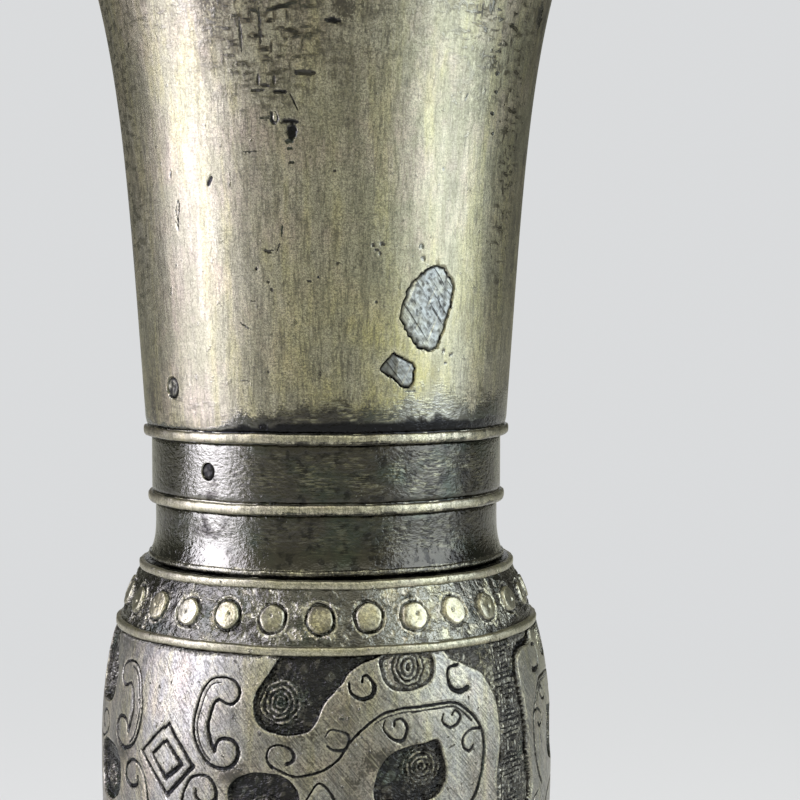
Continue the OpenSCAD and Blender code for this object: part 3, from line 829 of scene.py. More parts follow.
# Marks in the neck: azimuth, height over the rib, half width, half height, lean, depth, dark and bright
NECK_MARKS = [
    (-15, 41.2, 1.3, 0.35, 0, 0.05, 0.5, 0),
    (-13.2, 41.1, 0.65, 1.05, 6, 0.25, 1, 0.9),
    (-13.1, 41.3, 0.28, 0.66, 12, 0, 0, 1),
    (-9.2, 40.7, 1.2, 0.4, 0, 0.25, 1, 0),
    (-8.7, 39.5, 0.75, 1.15, -8, 0.25, 1, 0),
    (-9.6, 38.2, 0.6, 0.35, 0, 0.2, 0.9, 0),
    (-44.7, 30.2, 0.32, 1.1, -14, 0.25, 1, 0.4),
    (-45.3, 28.6, 0.34, 1.4, 4, 0.25, 1, 0.4),
    (-45, 29.9, 0.13, 0.95, -14, 0, 0, 1),
    (-45.6, 28.5, 0.13, 1.1, 4, 0, 0, 1),
    (-32.6, 33.4, 0.32, 0.75, -30, 0.2, 1, 0),
    (-46.8, 34.6, 0.25, 0.5, -20, 0.1, 0.8, 0),
    (12.7, 25.1, 0.3, 0.26, 0, 0.16, 0.9, 0.2),
    (13.8, 24.5, 0.34, 0.26, 0, 0.16, 0.9, 0.2),
    (15.2, 25.3, 0.36, 0.3, 0, 0.16, 0.9, 0.2),
    (14.7, 24.1, 0.24, 0.24, 0, 0.16, 0.8, 0.2),
    (-19.4, 22.1, 0.24, 0.24, 0, 0.12, 1, 0),
    (-16.1, 20.4, 0.26, 0.22, 0, 0.1, 0.9, 0),
    (-15.1, 19.4, 0.2, 0.26, 0, 0.1, 0.9, 0),
    (13.8, 17.8, 0.22, 0.22, 0, 0.1, 0.9, 0),
    (3.1, 22.8, 0.3, 0.2, 30, 0.1, 0.8, 0),
    (-16.8, 8.8, 0.18, 0.24, 0, 0.1, 0.8, 0),
    (-20.8, 18, 0.5, 0.12, -10, 0.05, 0.7, 0),
    (-23.2, 14.7, 1.05, 0.14, -32, 0.05, 0.8, 0),
    (-4.7, 20.5, 0.35, 0.22, -25, 0.1, 0.9, 0),
    (-2.2, 21, 0.18, 0.18, 0, 0.1, 0.9, 0),
    (-1.8, 8.7, 0.14, 0.5, 0, 0.06, 0.8, 0),
    (-24, 7.6, 0.75, 0.12, 0, 0.05, 0.6, 0),
    (-11.9, 27, 0.13, 1.1, -8, 0.06, 0.7, 0),
    (-13, 24.8, 0.13, 0.9, -22, 0.06, 0.8, 0),
    (-16, 24.3, 0.6, 0.26, -20, 0.1, 0.9, 0),
    (-14.6, 24.5, 0.5, 0.1, 10, 0.06, 0.8, 0),
    (26.8, 25, 0.5, 0.4, 0, 0.18, 0.8, 0.2),
    (27.5, 23.5, 0.35, 0.4, 0, 0.18, 0.8, 0.2),
    (38.8, 10.9, 0.5, 0.22, 30, 0.2, 0.9, 0.2),
    (35.8, 11.4, 0.3, 0.3, 0, 0.16, 0.9, 0.2),
    (36.6, 9.8, 0.3, 0.22, 0, 0.16, 0.9, 0),
    (24.6, 6.2, 0.9, 0.2, 0, 0.12, 0.6, 0),
    (1.6, 53.1, 1.25, 0.42, 0, 0.15, 1, 0),
    (-5.5, 46.7, 1.6, 0.42, -6, 0.14, 0.9, 0),
    (-17.1, 46, 0.24, 0.65, 0, 0.12, 0.9, 0),
    (-13, 45.9, 0.24, 0.6, 0, 0.12, 0.9, 0),
    (-15.2, 45.2, 0.8, 0.22, 0, 0.12, 0.9, 0),
    (-17.3, 44.6, 1, 0.24, 3, 0.1, 0.9, 0),
    (-11.4, 44.4, 1.1, 0.26, 0, 0.12, 1, 0),
    (-8, 43, 0.14, 1.3, 24, 0.1, 1, 0),
    (-9.3, 37.3, 0.4, 0.2, 0, 0.1, 0.9, 0),
    (-9.1, 35.5, 0.45, 0.2, 0, 0.1, 0.9, 0),
    (-20.6, 37, 1, 0.16, 0, 0.06, 0.7, 0),
    (2.2, 34.5, 0.3, 0.2, 0, 0.1, 0.8, 0),
    (32.7, 35.1, 0.25, 0.25, 0, 0.1, 0.8, 0),
    (39, 44.7, 0.14, 0.8, -25, 0.08, 0.9, 0),
    (-21, 51.7, 0.24, 2.1, 0, 0.06, 0.8, 0),
    (-16, 52.6, 0.22, 2.7, 0, 0.06, 0.8, 0),
    (70, 57, 1.3, 1.8, 0, 0.2, 1, 0),
    (49.7, 48, 0.5, 0.3, 0, 0.08, 0.9, 0),
    (50.2, 45.6, 0.4, 0.22, 0, 0.08, 0.9, 0),
    (49.4, 42.8, 0.6, 0.26, 0, 0.08, 0.9, 0),
    (50.4, 40.2, 0.4, 0.24, 0, 0.08, 0.9, 0),
    (150, 30, 0.5, 1.6, 20, 0.15, 0.9, 0.4),
    (172, 22, 0.7, 0.4, 0, 0.15, 0.9, 0.3),
    (120, 14, 0.4, 0.9, -30, 0.15, 0.9, 0),
    (-150, 38, 0.8, 0.5, 10, 0.2, 1, 0.3),
    (-128, 18, 0.3, 1.2, 15, 0.12, 0.9, 0),
    (-100, 46, 1, 0.3, 0, 0.12, 0.9, 0),
    (-95, 12, 0.4, 0.4, 0, 0.15, 0.9, 0),
    (98, 40, 0.3, 1.4, -12, 0.1, 0.9, 0),
]


def neck_cuts(azimuth, radius, z, patches, plugs):
    """Depth, patina and wear of the pits, and of the seats of the patches and plugs, over the neck."""
    depth, dark, bright = np.zeros((3, len(azimuth)))
    for mark_azimuth, rise, half_w, half_h, lean, deep, darkness, shine in NECK_MARKS:
        across = np.radians(turned_from(azimuth, mark_azimuth)) * radius
        up = z - NECK_RIB_Z - rise
        near = np.flatnonzero((np.abs(across) < 5) & (np.abs(up) < 5))
        x = across[near]
        y = up[near]
        turn = math.radians(lean)
        along = x * math.cos(turn) + y * math.sin(turn)
        over = y * math.cos(turn) - x * math.sin(turn)
        away = np.hypot(along / half_w, over / half_h) + 0.22 * wander(x * 4, y * 4, rise)
        depth[near] = np.maximum(depth[near], 0.6 * deep * (1 - ramp(away, 0.55, 1.15)))
        dark[near] = np.maximum(dark[near], darkness * (1 - ramp(away, 0.75, 1.1)))
        bright[near] = np.maximum(bright[near], shine * hump(away - 1.25, 0.25))
        if darkness == 0:
            flake = 1 - ramp(away, 0.7, 1.1)
            bright[near] = np.maximum(bright[near], shine * flake)
            dark[near] *= 1 - flake
            depth[near] *= 1 - 0.7 * flake
    for outline, seat_azimuth, seat_z in patches + plugs:
        across, facing = seen_from(azimuth, radius, seat_azimuth)
        up = z - seat_z
        near = np.flatnonzero((np.abs(across) < 8) & (np.abs(up) < 8) & facing)
        x = across[near]
        y = up[near]
        off = line_distance(x, y, outline, 2)
        out = np.where(inside(x, y, outline), -off, off)
        depth[near] = np.maximum(depth[near], 0.4 * (1 - ramp(out, 0.02, 0.24)))
        out = out + 0.12 * wander(x * 4, y * 4, 3)
        rim = 0.22 + 0.2 * wander(x * 2.4, y * 2.4, 2) - 0.05 * np.sign(x + 0.6 * y)
        dark[near] = np.maximum(dark[near], 1 - ramp(out, 0.0, np.maximum(rim, 0.06)))
        bright[near] = np.maximum(bright[near], 0.35 * hump(out - 0.4, 0.2))
    return depth, dark, bright


# Outlines of the patches as seen from outside, from their centres, as in the solids
LARGE_PATCH = rounded([(-0.4, 5.1), (1.1, 5.6), (2.5, 5.1), (3.8, 3.9), (4, 2.8), (3.6, 0.8), (3, -1.4),
                       (2.5, -3.2), (1.7, -4.7), (0.6, -5.2), (-0.6, -4.9), (-1.9, -4.2), (-2.9, -2.8),
                       (-3.7, -1.2), (-3.8, 0.1), (-3.4, 1.3), (-3.1, 2.4), (-2.4, 3.7)], closed=True)
SMALL_PATCH = rounded([(-0.4, 2), (0.6, 1.4), (2, 0.5), (2.2, -0.5), (1.9, -2), (0.6, -2.1),
                       (-0.8, -0.9), (-2.2, 0), (-2.4, 0.5), (-1.5, 1.4)], closed=True)


def ragged(line, seed, amount):
    """An outline as a file and a graver leave it."""
    shifted = line + amount * np.column_stack([wander(line[:, 0] * 3, line[:, 1] * 3, seed),
                                               wander(line[:, 0] * 3, line[:, 1] * 3, seed + 3)])
    shifted[-1] = shifted[0]
    return shifted


def circle_line(radius):
    turns = np.radians(np.linspace(0, 360, 49))
    return np.column_stack([radius * np.cos(turns), radius * np.sin(turns)])


# Seats of the patches and plugs: outline, azimuth and height
NECK_PATCHES = [(ragged(LARGE_PATCH, 2, 0.22), 29.8, NECK_RIB_Z + 16.8),
                (ragged(SMALL_PATCH, 5, 0.14), 21.0, NECK_RIB_Z + 9.0)]
NECK_PLUGS = [(circle_line(1.3), -52.6 + side, NECK_RIB_Z + 6.4) for side in (0, 180)]
COLLAR_PLUGS = [(circle_line(1.0), -39.5 + side, NECK_RIB_Z - RIB_GAP / 2) for side in (0, 180)]


def crest_points(crest, z, half, downwards=False):
    """The worn, almost flat face of a rib with its rounded shoulders, listed upwards or downwards."""
    upper = [(crest - inset, half * share) for inset, share in
             ((0, 0), (0.01, 0.4), (0.05, 0.66), (0.14, 0.85), (0.28, 0.96), (0.42, 1))]
    section = [(radius, -rise) for radius, rise in reversed(upper[1:])] + upper
    if downwards:
        section.reverse()
    return [(radius, z + rise) for radius, rise in section]


def cord_outline(crest, z, height, foot_low, foot_high):
    """Section of a string rib from its lower foot to its upper one, with a crease beside each."""
    half = height / 2
    crease = ((0.16, 0), (0.2, 0.14), (0.05, 0.3), (0, 0.5))
    points = [(foot_low - deep, z - half - out) for deep, out in reversed(crease)]
    points += crest_points(crest, z, half)
    return points + [(foot_high - deep, z + half + out) for deep, out in crease]


def collar_outline():
    """Outside of a collar from its seat at 0 to past its outer rib."""
    lip = ((0.9, 0.05), (0.35, 0.12), (0.08, 0.3), (0, 0.55), (0.02, 0.8), (0.12, 0.97), (0.34, 1.05))
    points = [(SPIGOT_R, 0.03)]
    points += [(LIP_R - inset, rise) for inset, rise in lip]
    points += [(WAIST_R + 0.7 * (1 - t) ** 3, 1.1 + 5.1 * t) for t in steps_between(0.08, 1, 8)]
    points += [(WAIST_R, 6.8), (WAIST_R, 7.3)]
    points += cord_outline(INNER_RIB_R, COLLAR_H - RIB_GAP, RIB_H, WAIST_R, BAND_R)
    low = COLLAR_H - RIB_GAP + RIB_H / 2 + 1
    high = COLLAR_H - RIB_H / 2 - 1
    points += [(BAND_R, z) for z in steps_between(low, high, 9)]
    points += cord_outline(OUTER_RIB_R, COLLAR_H, RIB_H, BAND_R, ROOT_R)
    return points


def neck_outline():
    points = [(BORE_R, -SOCKET_DEPTH - SEAM_LEG), (SPIGOT_R, -SOCKET_DEPTH - SEAM_LEG)]
    points += collar_outline()
    for u in steps_between(1.9, NECK_RUN, 72):
        radius, z = neck_point(u, -NECK_WALL / 2)
        points.append((radius, z + COLLAR_H))
    middle = neck_point(NECK_RUN, 0)
    lean = math.atan2(points[-1][0] - points[-2][0], points[-1][1] - points[-2][1])
    for i in range(1, 10):
        turn = math.pi * i / 10 - lean
        points.append((middle[0] + NECK_WALL / 2 * math.cos(turn),
                       middle[1] + NECK_WALL / 2 * math.sin(turn) + COLLAR_H))
    for u in steps_between(NECK_RUN, 6, 34):
        radius, z = neck_point(u, NECK_WALL / 2)
        points.append((radius, z + COLLAR_H))
    points += [(BORE_R, z) for z in steps_between(COLLAR_H - RIB_GAP, 0, 4)]
    return [(radius, z + KNOP_HIGH) for radius, z in points]


def foot_outline():
    """The foot, listed downwards from its spigot."""
    points = [(BORE_R, SOCKET_DEPTH - FLOOR_T), (SPIGOT_R, SOCKET_DEPTH - FLOOR_T)]
    points += [(radius, -z) for radius, z in collar_outline()]
    for u in steps_between(1.9, FOOT_RUN - 0.5, 36):
        radius, z = foot_point(u, -FOOT_WALL / 2)
        points.append((radius, -z - COLLAR_H))
    edge = PLINTH_H - KNOP_LOW
    inner = foot_point(FOOT_RUN, FOOT_WALL / 2)
    points += [(FOOT_R - 0.35, edge - 0.02), (FOOT_R - 0.1, edge - 0.1), (FOOT_R, edge - 0.35)]
    points += [(FOOT_R, z) for z in steps_between(edge - 1.6, 0.4 - KNOP_LOW, 4)]
    points += [(FOOT_R - 0.12, 0.12 - KNOP_LOW), (FOOT_R - 0.4, -KNOP_LOW), (FOOT_R - 2, -KNOP_LOW),
               (FOOT_R - 2.28, 0.12 - KNOP_LOW), (FOOT_R - FOOT_WALL, 0.4 - KNOP_LOW)]
    points += [(FOOT_R - FOOT_WALL, z) for z in steps_between(1.6 - KNOP_LOW, -inner[1] - COLLAR_H, 3)]
    for u in steps_between(FOOT_RUN - 0.4, 6, 22):
        radius, z = foot_point(u, FOOT_WALL / 2)
        points.append((radius, -z - COLLAR_H))
    points += [(BORE_R, -z) for z in steps_between(COLLAR_H - RIB_GAP, 0, 4)]
    return [(radius, z + KNOP_LOW) for radius, z in points]


def knop_outline():
    """The knop's core from its upper seat down: the carved tiles lie between its border ribs."""
    upper = [(SOCKET_R, KNOP_HALF), (KNOP_END_R - 0.95, KNOP_HALF),
             (KNOP_END_R - 0.55, KNOP_HALF - 0.06)]
    upper += border_outline(OUTER_BORDER, 0.02)
    upper += [(knop_side(q) - 1.1, q) for q in steps_between(OUTER_BORDER - 0.9, INNER_BORDER + 0.9, 6)]
    upper += border_outline(INNER_BORDER, 0.16)
    low = SOCKET_DEPTH + SHOULDER_T - KNOP_HALF
    points = list(upper)
    points += [(knop_side(q) - 1.2, q) for q in steps_between(INNER_BORDER - 1, 1 - INNER_BORDER, 16)]
    points += [(radius, -q) for radius, q in reversed(upper)]
    points += [(SOCKET_R, low - SHOULDER_T), (SHOULDER_R, low - SHOULDER_T), (SHOULDER_R, low)]
    points += [(knop_side(q) - KNOP_WALL, q) for q in steps_between(low, KNOP_HALF - SOCKET_DEPTH, 20)]
    points.append((SOCKET_R, KNOP_HALF - SOCKET_DEPTH))
    return [(radius, q + KNOP_MIDDLE) for radius, q in points]


def border_outline(q, proud):
    """Section of a border rib, listed downwards, rooted in the core."""
    half = BORDER_H / 2
    side = knop_side(q)
    crest = crest_points(side + proud, q, half, downwards=True)
    return [(side - 1, q + half), *crest, (side - 1, q - half)]


def hand_turned(piece, lines, waver):
    """Lets the ribs at these heights run a little out of true, as they do on a casting."""
    rows = places(piece)
    azimuth, radius = around(rows)
    turn = np.radians(azimuth)
    shift, swell = np.zeros((2, len(rows)))
    for number, line in enumerate(lines):
        near = (1 - ramp(np.abs(rows[:, 2] - line), 0.5, 1.6)) * waver / MM
        slow = np.sin(turn * 3 + number) + 0.7 * np.sin(turn * 7 + 2 * number)
        slow += 0.5 * np.sin(turn * 17 + number)
        quick = np.sin(turn * 41 + number * 2) * np.sin(turn * 9) + 0.6 * np.sin(turn * 67 + number)
        shift += near * (slow * 0.6 + quick * 0.3)
        swell += near * (0.35 * quick + 0.2 * slow)
    outside = radius > BORE_R + 2.2
    grow = 1 + np.where(outside, np.minimum(swell, 0.02), 0) / radius
    rows[:, 2] += shift * outside
    rows[:, :2] *= grow[:, None]
    put(piece, rows)


def insert_piece(name, seats, rise_of, cell, surface):
    """Tiles cut to their outlines and let into the wall, from its outer face to its inner one."""
    made = []
    for number, (outline, azimuth, z) in enumerate(seats):
        low = outline.min(0) - 0.1
        high = outline.max(0) + 0.1
        tile = flat_tile(f"{name}_{number}", low[0], high[0], low[1], high[1], cell)
        centres = face_centres(tile)
        pick_faces(tile, ~inside(centres[:, 0], centres[:, 1], outline))
        bpy.context.tool_settings.mesh_select_mode = (False, False, True)
        bpy.ops.object.mode_set(mode="EDIT")
        bpy.ops.mesh.delete(type="FACE")
        bpy.ops.mesh.select_all(action="SELECT")
        bpy.ops.mesh.delete_loose()
        bpy.ops.object.mode_set(mode="OBJECT")
        snap_edge(tile, outline)
        thicken(tile, 1)
        made.append(fit_to_neck(tile, outline, azimuth, z, rise_of, surface))
    start_fresh()
    for tile in made:
        tile.select_set(True)
    bpy.context.view_layer.objects.active = made[0]
    if len(made) > 1:
        bpy.ops.object.join()
    return named(name)


def snap_edge(tile, outline):
    """Draws the stepped edge of a cut tile out to its outline."""
    mesh = tile.data
    use = np.zeros(len(mesh.edges), int)
    np.add.at(use, numbers(mesh.loops, "edge_index", np.int32), 1)
    rim = np.unique(numbers(mesh.edges, "vertices", np.int32, 2).reshape(-1, 2)[use == 1])
    rows = places(tile)
    for index in rim:
        point = rows[index, :2]
        starts = outline[:-1]
        run = outline[1:] - starts
        along = np.clip(((point - starts) * run).sum(1) / np.maximum((run * run).sum(1), 1e-9), 0, 1)
        nearest = starts + run * along[:, None]
        rows[index, :2] = nearest[np.argmin(np.hypot(*(nearest - point).T))]
    put(tile, rows)


def wall_radii(z):
    """Outer and inner radius of the neck at each height."""
    outline = np.array(neck_outline())
    top = int(np.argmax(outline[:, 1]))
    outer = outline[2:top + 1]
    inner = outline[top:][::-1]
    return np.interp(z, outer[:, 1], outer[:, 0]), np.interp(z, inner[:, 1], inner[:, 0])


def fit_to_neck(tile, outline, azimuth, z, rise_of, surface):
    """Bends a tile onto the neck, with its face at the outer wall and its back at the inner one."""
    rows = places(tile)
    x, y, height = rows.T
    face = height > -0.5
    outer, inner = wall_radii(z + y)
    off = line_distance(x, y, outline, 1)
    radius = np.where(face, outer + rise_of(x, y, off), inner - 0.02)
    across = np.degrees(np.arcsin(x / radius))
    put(tile, on_axis(azimuth + across, radius, z + y))
    write_on(tile, patina=np.where(face, surface(x, y, off), 0.7))
    return tile


def length_setting(name, description, default):
    return FloatProperty(name=name, description=description, default=default,
                         precision=5, unit="LENGTH")


def angle_setting(name, description, degrees):
    return FloatProperty(name=name, description=description, default=math.radians(degrees),
                         subtype="ANGLE")


def level_setting(name, description, default):
    return FloatProperty(name=name, description=description, default=default, min=0)


def colour_setting(name, description, *default):
    return FloatVectorProperty(name=name, description=description, default=default, subtype="COLOR")


class GuSizes(bpy.types.PropertyGroup):
    turn_steps: IntProperty(name="Turning steps", description="Faces round each turned piece",
                            default=256, min=48, max=512)
    tile_cell: length_setting("Tile cell", "Cell of the carved tiles before they are divided", 0.001)
    incised_width: length_setting("Incised width", "Width of the incised lines against 1 mm", 0.001)
    incised_depth: length_setting("Incised depth", "Depth of the incised lines against 1 mm", 0.001)
    sunk_depth: length_setting("Sunk depth", "Depth of the sunk fields against 1 mm", 0.001)
    rib_waver: length_setting("Rib waver", "How far the ribs run out of true", 0.0001)
    circlet_width: length_setting("Circlet diameter", "Diameter of a circlet's boss", 0.0033)
    circlet_rise: length_setting("Circlet rise", "Height of a circlet over its ground", 0.0005)
    circlet_count: IntProperty(name="Circlets", description="Circlets in one band",
                               default=28, min=8, max=40)
    circlet_azimuth: angle_setting("First circlet", "Azimuth of the first circlet", -2)
    mask_azimuth: angle_setting("First mask", "Azimuth of the axis of the first mask", -42)


class GuColours(bpy.types.PropertyGroup):
    bronze: colour_setting("Bronze", "Pale bronze of the handled faces", 0.465, 0.44, 0.345)
    deep_bronze: colour_setting("Deep bronze", "Olive bronze between them", 0.31, 0.3, 0.2)
    brown_bronze: colour_setting("Brown bronze", "Pinkish brown clouds", 0.43, 0.36, 0.285)
    worn_brass: colour_setting("Worn brass", "Bright metal of worn edges and ribs", 0.5, 0.475, 0.34)
    golden_bronze: colour_setting("Golden bronze", "Yellower metal low on the neck", 0.41, 0.38, 0.165)
    grey_bronze: colour_setting("Grey bronze", "Cooler pale metal of the masks", 0.425, 0.425, 0.395)
    deep_grey: colour_setting("Deep grey bronze", "Cooler deep metal of the masks", 0.26, 0.26, 0.235)
    dark_bronze: colour_setting("Dark bronze", "Grey-black sheen between the ribs", 0.057, 0.054, 0.046)
    # Brown of soil marks, and also the colour of the painted shade in soot.
    soil_and_shade_brown: colour_setting("Soil brown", "Brown that soil left on the metal", 0.09, 0.075, 0.045)
    patina: colour_setting("Black patina", "Black in what is cut or sunk", 0.016, 0.016, 0.016)
    # A lighter black painted where the panels' highlights fall: painted highlight on polished metal.
    polished_black: colour_setting("Polished black", "Black where hands polished it", 0.19, 0.187, 0.155)
    green_patina: colour_setting("Green patina", "Grey-green bloom on the black", 0.045, 0.056, 0.044)
    patch: colour_setting("Patch metal", "Grey metal of the patches", 0.27, 0.285, 0.27)
    plug: colour_setting("Plug metal", "Grey metal of the plugs", 0.1, 0.1, 0.09)
    solder: colour_setting("Solder", "Dull grey of the solder", 0.36, 0.36, 0.35)
    floor: colour_setting("Floor", "Pale floor", 0.7, 0.7, 0.69)
    background: colour_setting("Background", "Pale background", 0.7, 0.71, 0.72)


class GuStudio(bpy.types.PropertyGroup):
    left_level: level_setting("Left panel", "Brightness of the tall panel on the left", 7.7)
    right_level: level_setting("Right panel", "Brightness of the softer panel on the right", 4.35)
    top_level: level_setting("Top panel", "Brightness of the panel overhead", 1.2)
    room_level: level_setting("Room", "Brightness of the room behind the camera", 0.75)
    side_level: level_setting("Room sides", "Brightness of the room beside and behind the vessel", 0.14)
    lens: FloatProperty(name="Lens", description="Focal length of the camera in millimetres",
                        default=81.9, min=10)


class GU_OT_neck(bpy.types.Operator):
    """Turn the trumpet neck with its collar, and press its pits and the seats of its repairs into it"""

    bl_idname = "gu.neck"
    bl_label = "Neck"

    def execute(self, context):
        sizes = context.scene.gu_sizes
        piece = turn_on_axis("gu_neck", neck_outline(), sizes.turn_steps)
        hand_turned(piece, [KNOP_HIGH + 0.5, NECK_RIB_Z - RIB_GAP, NECK_RIB_Z], sizes.rib_waver)
        seats = NECK_PLUGS + COLLAR_PLUGS

        def near_cut(centres, reach):
            azimuth, radius = around(centres)
            found = np.zeros(len(centres), bool)
            for mark_azimuth, rise, half_w, half_h, *_ in NECK_MARKS:
                across = np.radians(turned_from(azimuth, mark_azimuth)) * radius
                up = centres[:, 2] - NECK_RIB_Z - rise
                wide = half_w + reach * 0.6 + 0.3
                high = half_h + reach * 0.6 + 0.3
                found |= np.hypot(across / wide, up / high) < 1
            found &= radius > wall_radii(centres[:, 2])[0] - 0.5
            for outline, seat_azimuth, seat_z in NECK_PATCHES + seats:
                across, facing = seen_from(azimuth, radius, seat_azimuth)
                off = line_distance(across, centres[:, 2] - seat_z, outline, reach + 0.4)
                found |= (off < reach * 0.7 + 0.15) & facing
            return found

        refine(piece, near_cut, (1.2, 0.7, 0.4))
        rows = places(piece)
        azimuth, radius = around(rows)
        z = rows[:, 2]
        outer, inner = wall_radii(z)
        outside = np.abs(radius - outer) < 0.3
        within = (np.abs(radius - inner) < 0.3) & ~outside & (z > KNOP_HIGH)
        depth, dark, bright = neck_cuts(azimuth, radius, z, NECK_PATCHES, seats)
        behind = np.where(depth > 0.2, depth, 0) * 0.8
        cut_radius = radius - np.where(outside, depth, 0) + np.where(within, behind, 0)
        put(piece, on_axis(azimuth, cut_radius, z))
        patina = most(collar_patina(azimuth, radius, z, 1) * outside,
                      np.where(outside, dark, 0), np.where(within, 0.35, 0))
        gold = collar_streaks(azimuth, z, 1) + neck_gold(azimuth, z)
        write_on(piece, patina=patina, gold=gold * outside, polish=neck_polish(azimuth, z),
                 wear=np.maximum(rib_wear(radius, z, 1), bright) * outside,
                 soil=neck_soil(azimuth, z) * outside,
                 soot=np.clip(neck_soot(azimuth, z), 0, 0.9) * outside)
        smooth_faces(piece, 40)
        hand_in(piece, aged_bronze("neck_bronze", lines=0.9, scratches=0.15), "neck_bronze", "neck")
        return {"FINISHED"}


def collar_rise(z, side):
    """Height over the seat of the upper collar, or depth under that of the lower one."""
    return (z - (KNOP_HIGH if side > 0 else KNOP_LOW)) * side


def collar_patina(azimuth, radius, z, side):
    """Black patina between the ribs of a collar, in the creases, and fading out over the outer rib, with
    painted shade on the lower half of each rib's crest.
    """
    rise = collar_rise(z, side)
    from_inner = np.abs(rise - COLLAR_H + RIB_GAP) - RIB_H / 2
    from_outer = np.abs(rise - COLLAR_H) - RIB_H / 2
    crest = (from_inner < 0) & (radius > INNER_RIB_R - 0.45)
    crest |= (from_outer < 0) & (radius > OUTER_RIB_R - 0.45)
    lip = (rise > 0.25) & (rise < 1.1) & (radius > LIP_R - 0.4)
    ground = (rise > 0) & (rise < COLLAR_H) & ~crest & ~lip
    black = np.where(ground, 0.8 + 0.07 * wander(azimuth * 0.2, z, 3), 0)
    crease = hump(np.minimum(np.maximum(from_inner, 0), np.maximum(from_outer, 0)), 0.24)
    dull = 0.3 + 0.2 * wander(azimuth * 0.5, z, 11)
    below = np.minimum(rise - COLLAR_H, 0) + np.where(rise > COLLAR_H - 2, 0, RIB_GAP)
    # Painted shade: the lower half of each rib crest is darkened, except round the left highlight.
    under = crest * dull * ramp(below, 0.1, -0.3) * ramp(turned_from(azimuth), -30, -10)
    at_seat = np.where(lip, 0.45, hump(np.maximum(rise, 0), 0.3)) * (rise < 2) * ~crest
    over = rise - COLLAR_H - RIB_H / 2
    reach = 3.3 + 1.1 * wander(azimuth * 0.16, 0 * z, 8) + 0.8 * wander(azimuth * 0.6, 0 * z, 5)
    reach = np.maximum(reach * (0.15 + 0.85 * ramp(np.abs(azimuth + 52), 16, 34)), 0.2)
    fade = np.minimum(1.3 * hump(np.maximum(over, 0), reach, 1.6), 1) * (over >= 0)
    return most(black, np.where(crest | lip, 0, crease), under, at_seat, fade)


def collar_streaks(azimuth, z, side):
    """How much bare metal shows in fine turning streaks between the ribs."""
    rise = collar_rise(z, side)
    turn = turned_from(azimuth)
    facing = 0.25 + 0.75 * ramp(turn, -32, -14) * (1 - ramp(turn, 70, 120))
    facing += 0.4 * ramp(np.abs(turn), 120, 160)
    upper = hump(rise - COLLAR_H + RIB_GAP * 0.5, 2.9, 4)
    lower = 0.6 * hump(rise - 5.2, 2.6, 4)
    return 0.42 * (upper + 0.8 * lower) * facing * (rise > 0) * (rise < COLLAR_H)


def neck_gold(azimuth, z):
    """Where the neck's metal is yellower."""
    rise = z - NECK_RIB_Z
    gold = 1.3 * spot(azimuth - 14, 24, rise - 8, 10) + 0.5 * spot(azimuth - 70, 22, rise - 22, 20)
    gold += 0.3 * hump(azimuth + 72, 20) + 0.5 * spot(azimuth - 165, 60, rise - 20, 14)
    return gold * (rise > 0.8)


def neck_polish(azimuth, z):
    """Where the neck is worn smooth, and where a lighter, smoother colour is painted round the highlights
    of the left and right panels: partly painted highlight.
    """
    turn = turned_from(azimuth)
    return hump(turn + 40, 14) + hump(turn - 33, 14) * (z - NECK_RIB_Z > 0.8)


def neck_soot(azimuth, z):
    """Brown clouds on the neck, high in the middle and down both limbs; the darkening high in the middle
    and down the right limb is partly painted shade.
    """
    rise = z - NECK_RIB_Z
    turn = turned_from(azimuth)
    uneven = 1 + 0.8 * wander(azimuth * 0.3, rise * 0.15, 7)
    soot = 0.75 * ramp(rise, 36, 60) * hump(turn + 8, 30) * uneven
    soot += 0.8 * spot(turn + 68, 7, rise - 3, 7)
    right = 0.5 * hump(turn - 74, 12) * (1 + 0.7 * wander(azimuth * 0.4, rise * 0.3, 9))
    back = 0.3 * hump(turn - 164, 60) * (1 + wander(azimuth * 0.1, rise * 0.1, 10))
    return soot + (right + back) * (rise > 0)


def neck_soil(azimuth, z):
    """Where dark dashes, left by what the vessel lay in, cross the neck."""
    rise = z - NECK_RIB_Z
    high = ramp(rise, 40, 62) * 0.35 * (1 + 0.8 * wander(azimuth * 0.12, rise * 0.12, 2))
    middle = 1.1 * spot(turned_from(azimuth, -16), 17, rise - 54, 9.5)
    right = 1.1 * spot(turned_from(azimuth, 47), 13, rise - 57, 10)
    column = 0.8 * spot(turned_from(azimuth, 60), 6, rise - 36, 20)
    limb = 0.6 * hump(turned_from(azimuth, -80), 18) * ramp(rise, 2, 20)
    low = 0.25 * hump(rise - 4, 4) * (1 + wander(azimuth * 0.1, rise, 6))
    return most(high, middle, right, column, limb, low)


def rib_wear(radius, z, side):
    """Bright metal on the crests of a collar's ribs and on its lip."""
    rise = collar_rise(z, side)
    inner_rib = hump(rise - COLLAR_H + RIB_GAP, 0.45, 4) * (radius > INNER_RIB_R - 0.5)
    outer_rib = hump(rise - COLLAR_H, 0.45, 4) * (radius > OUTER_RIB_R - 0.5)
    lip = hump(rise - 0.6, 0.4, 4) * 0.5 * (radius > LIP_R - 0.4)
    return most(inner_rib, 0.8 * outer_rib, lip)


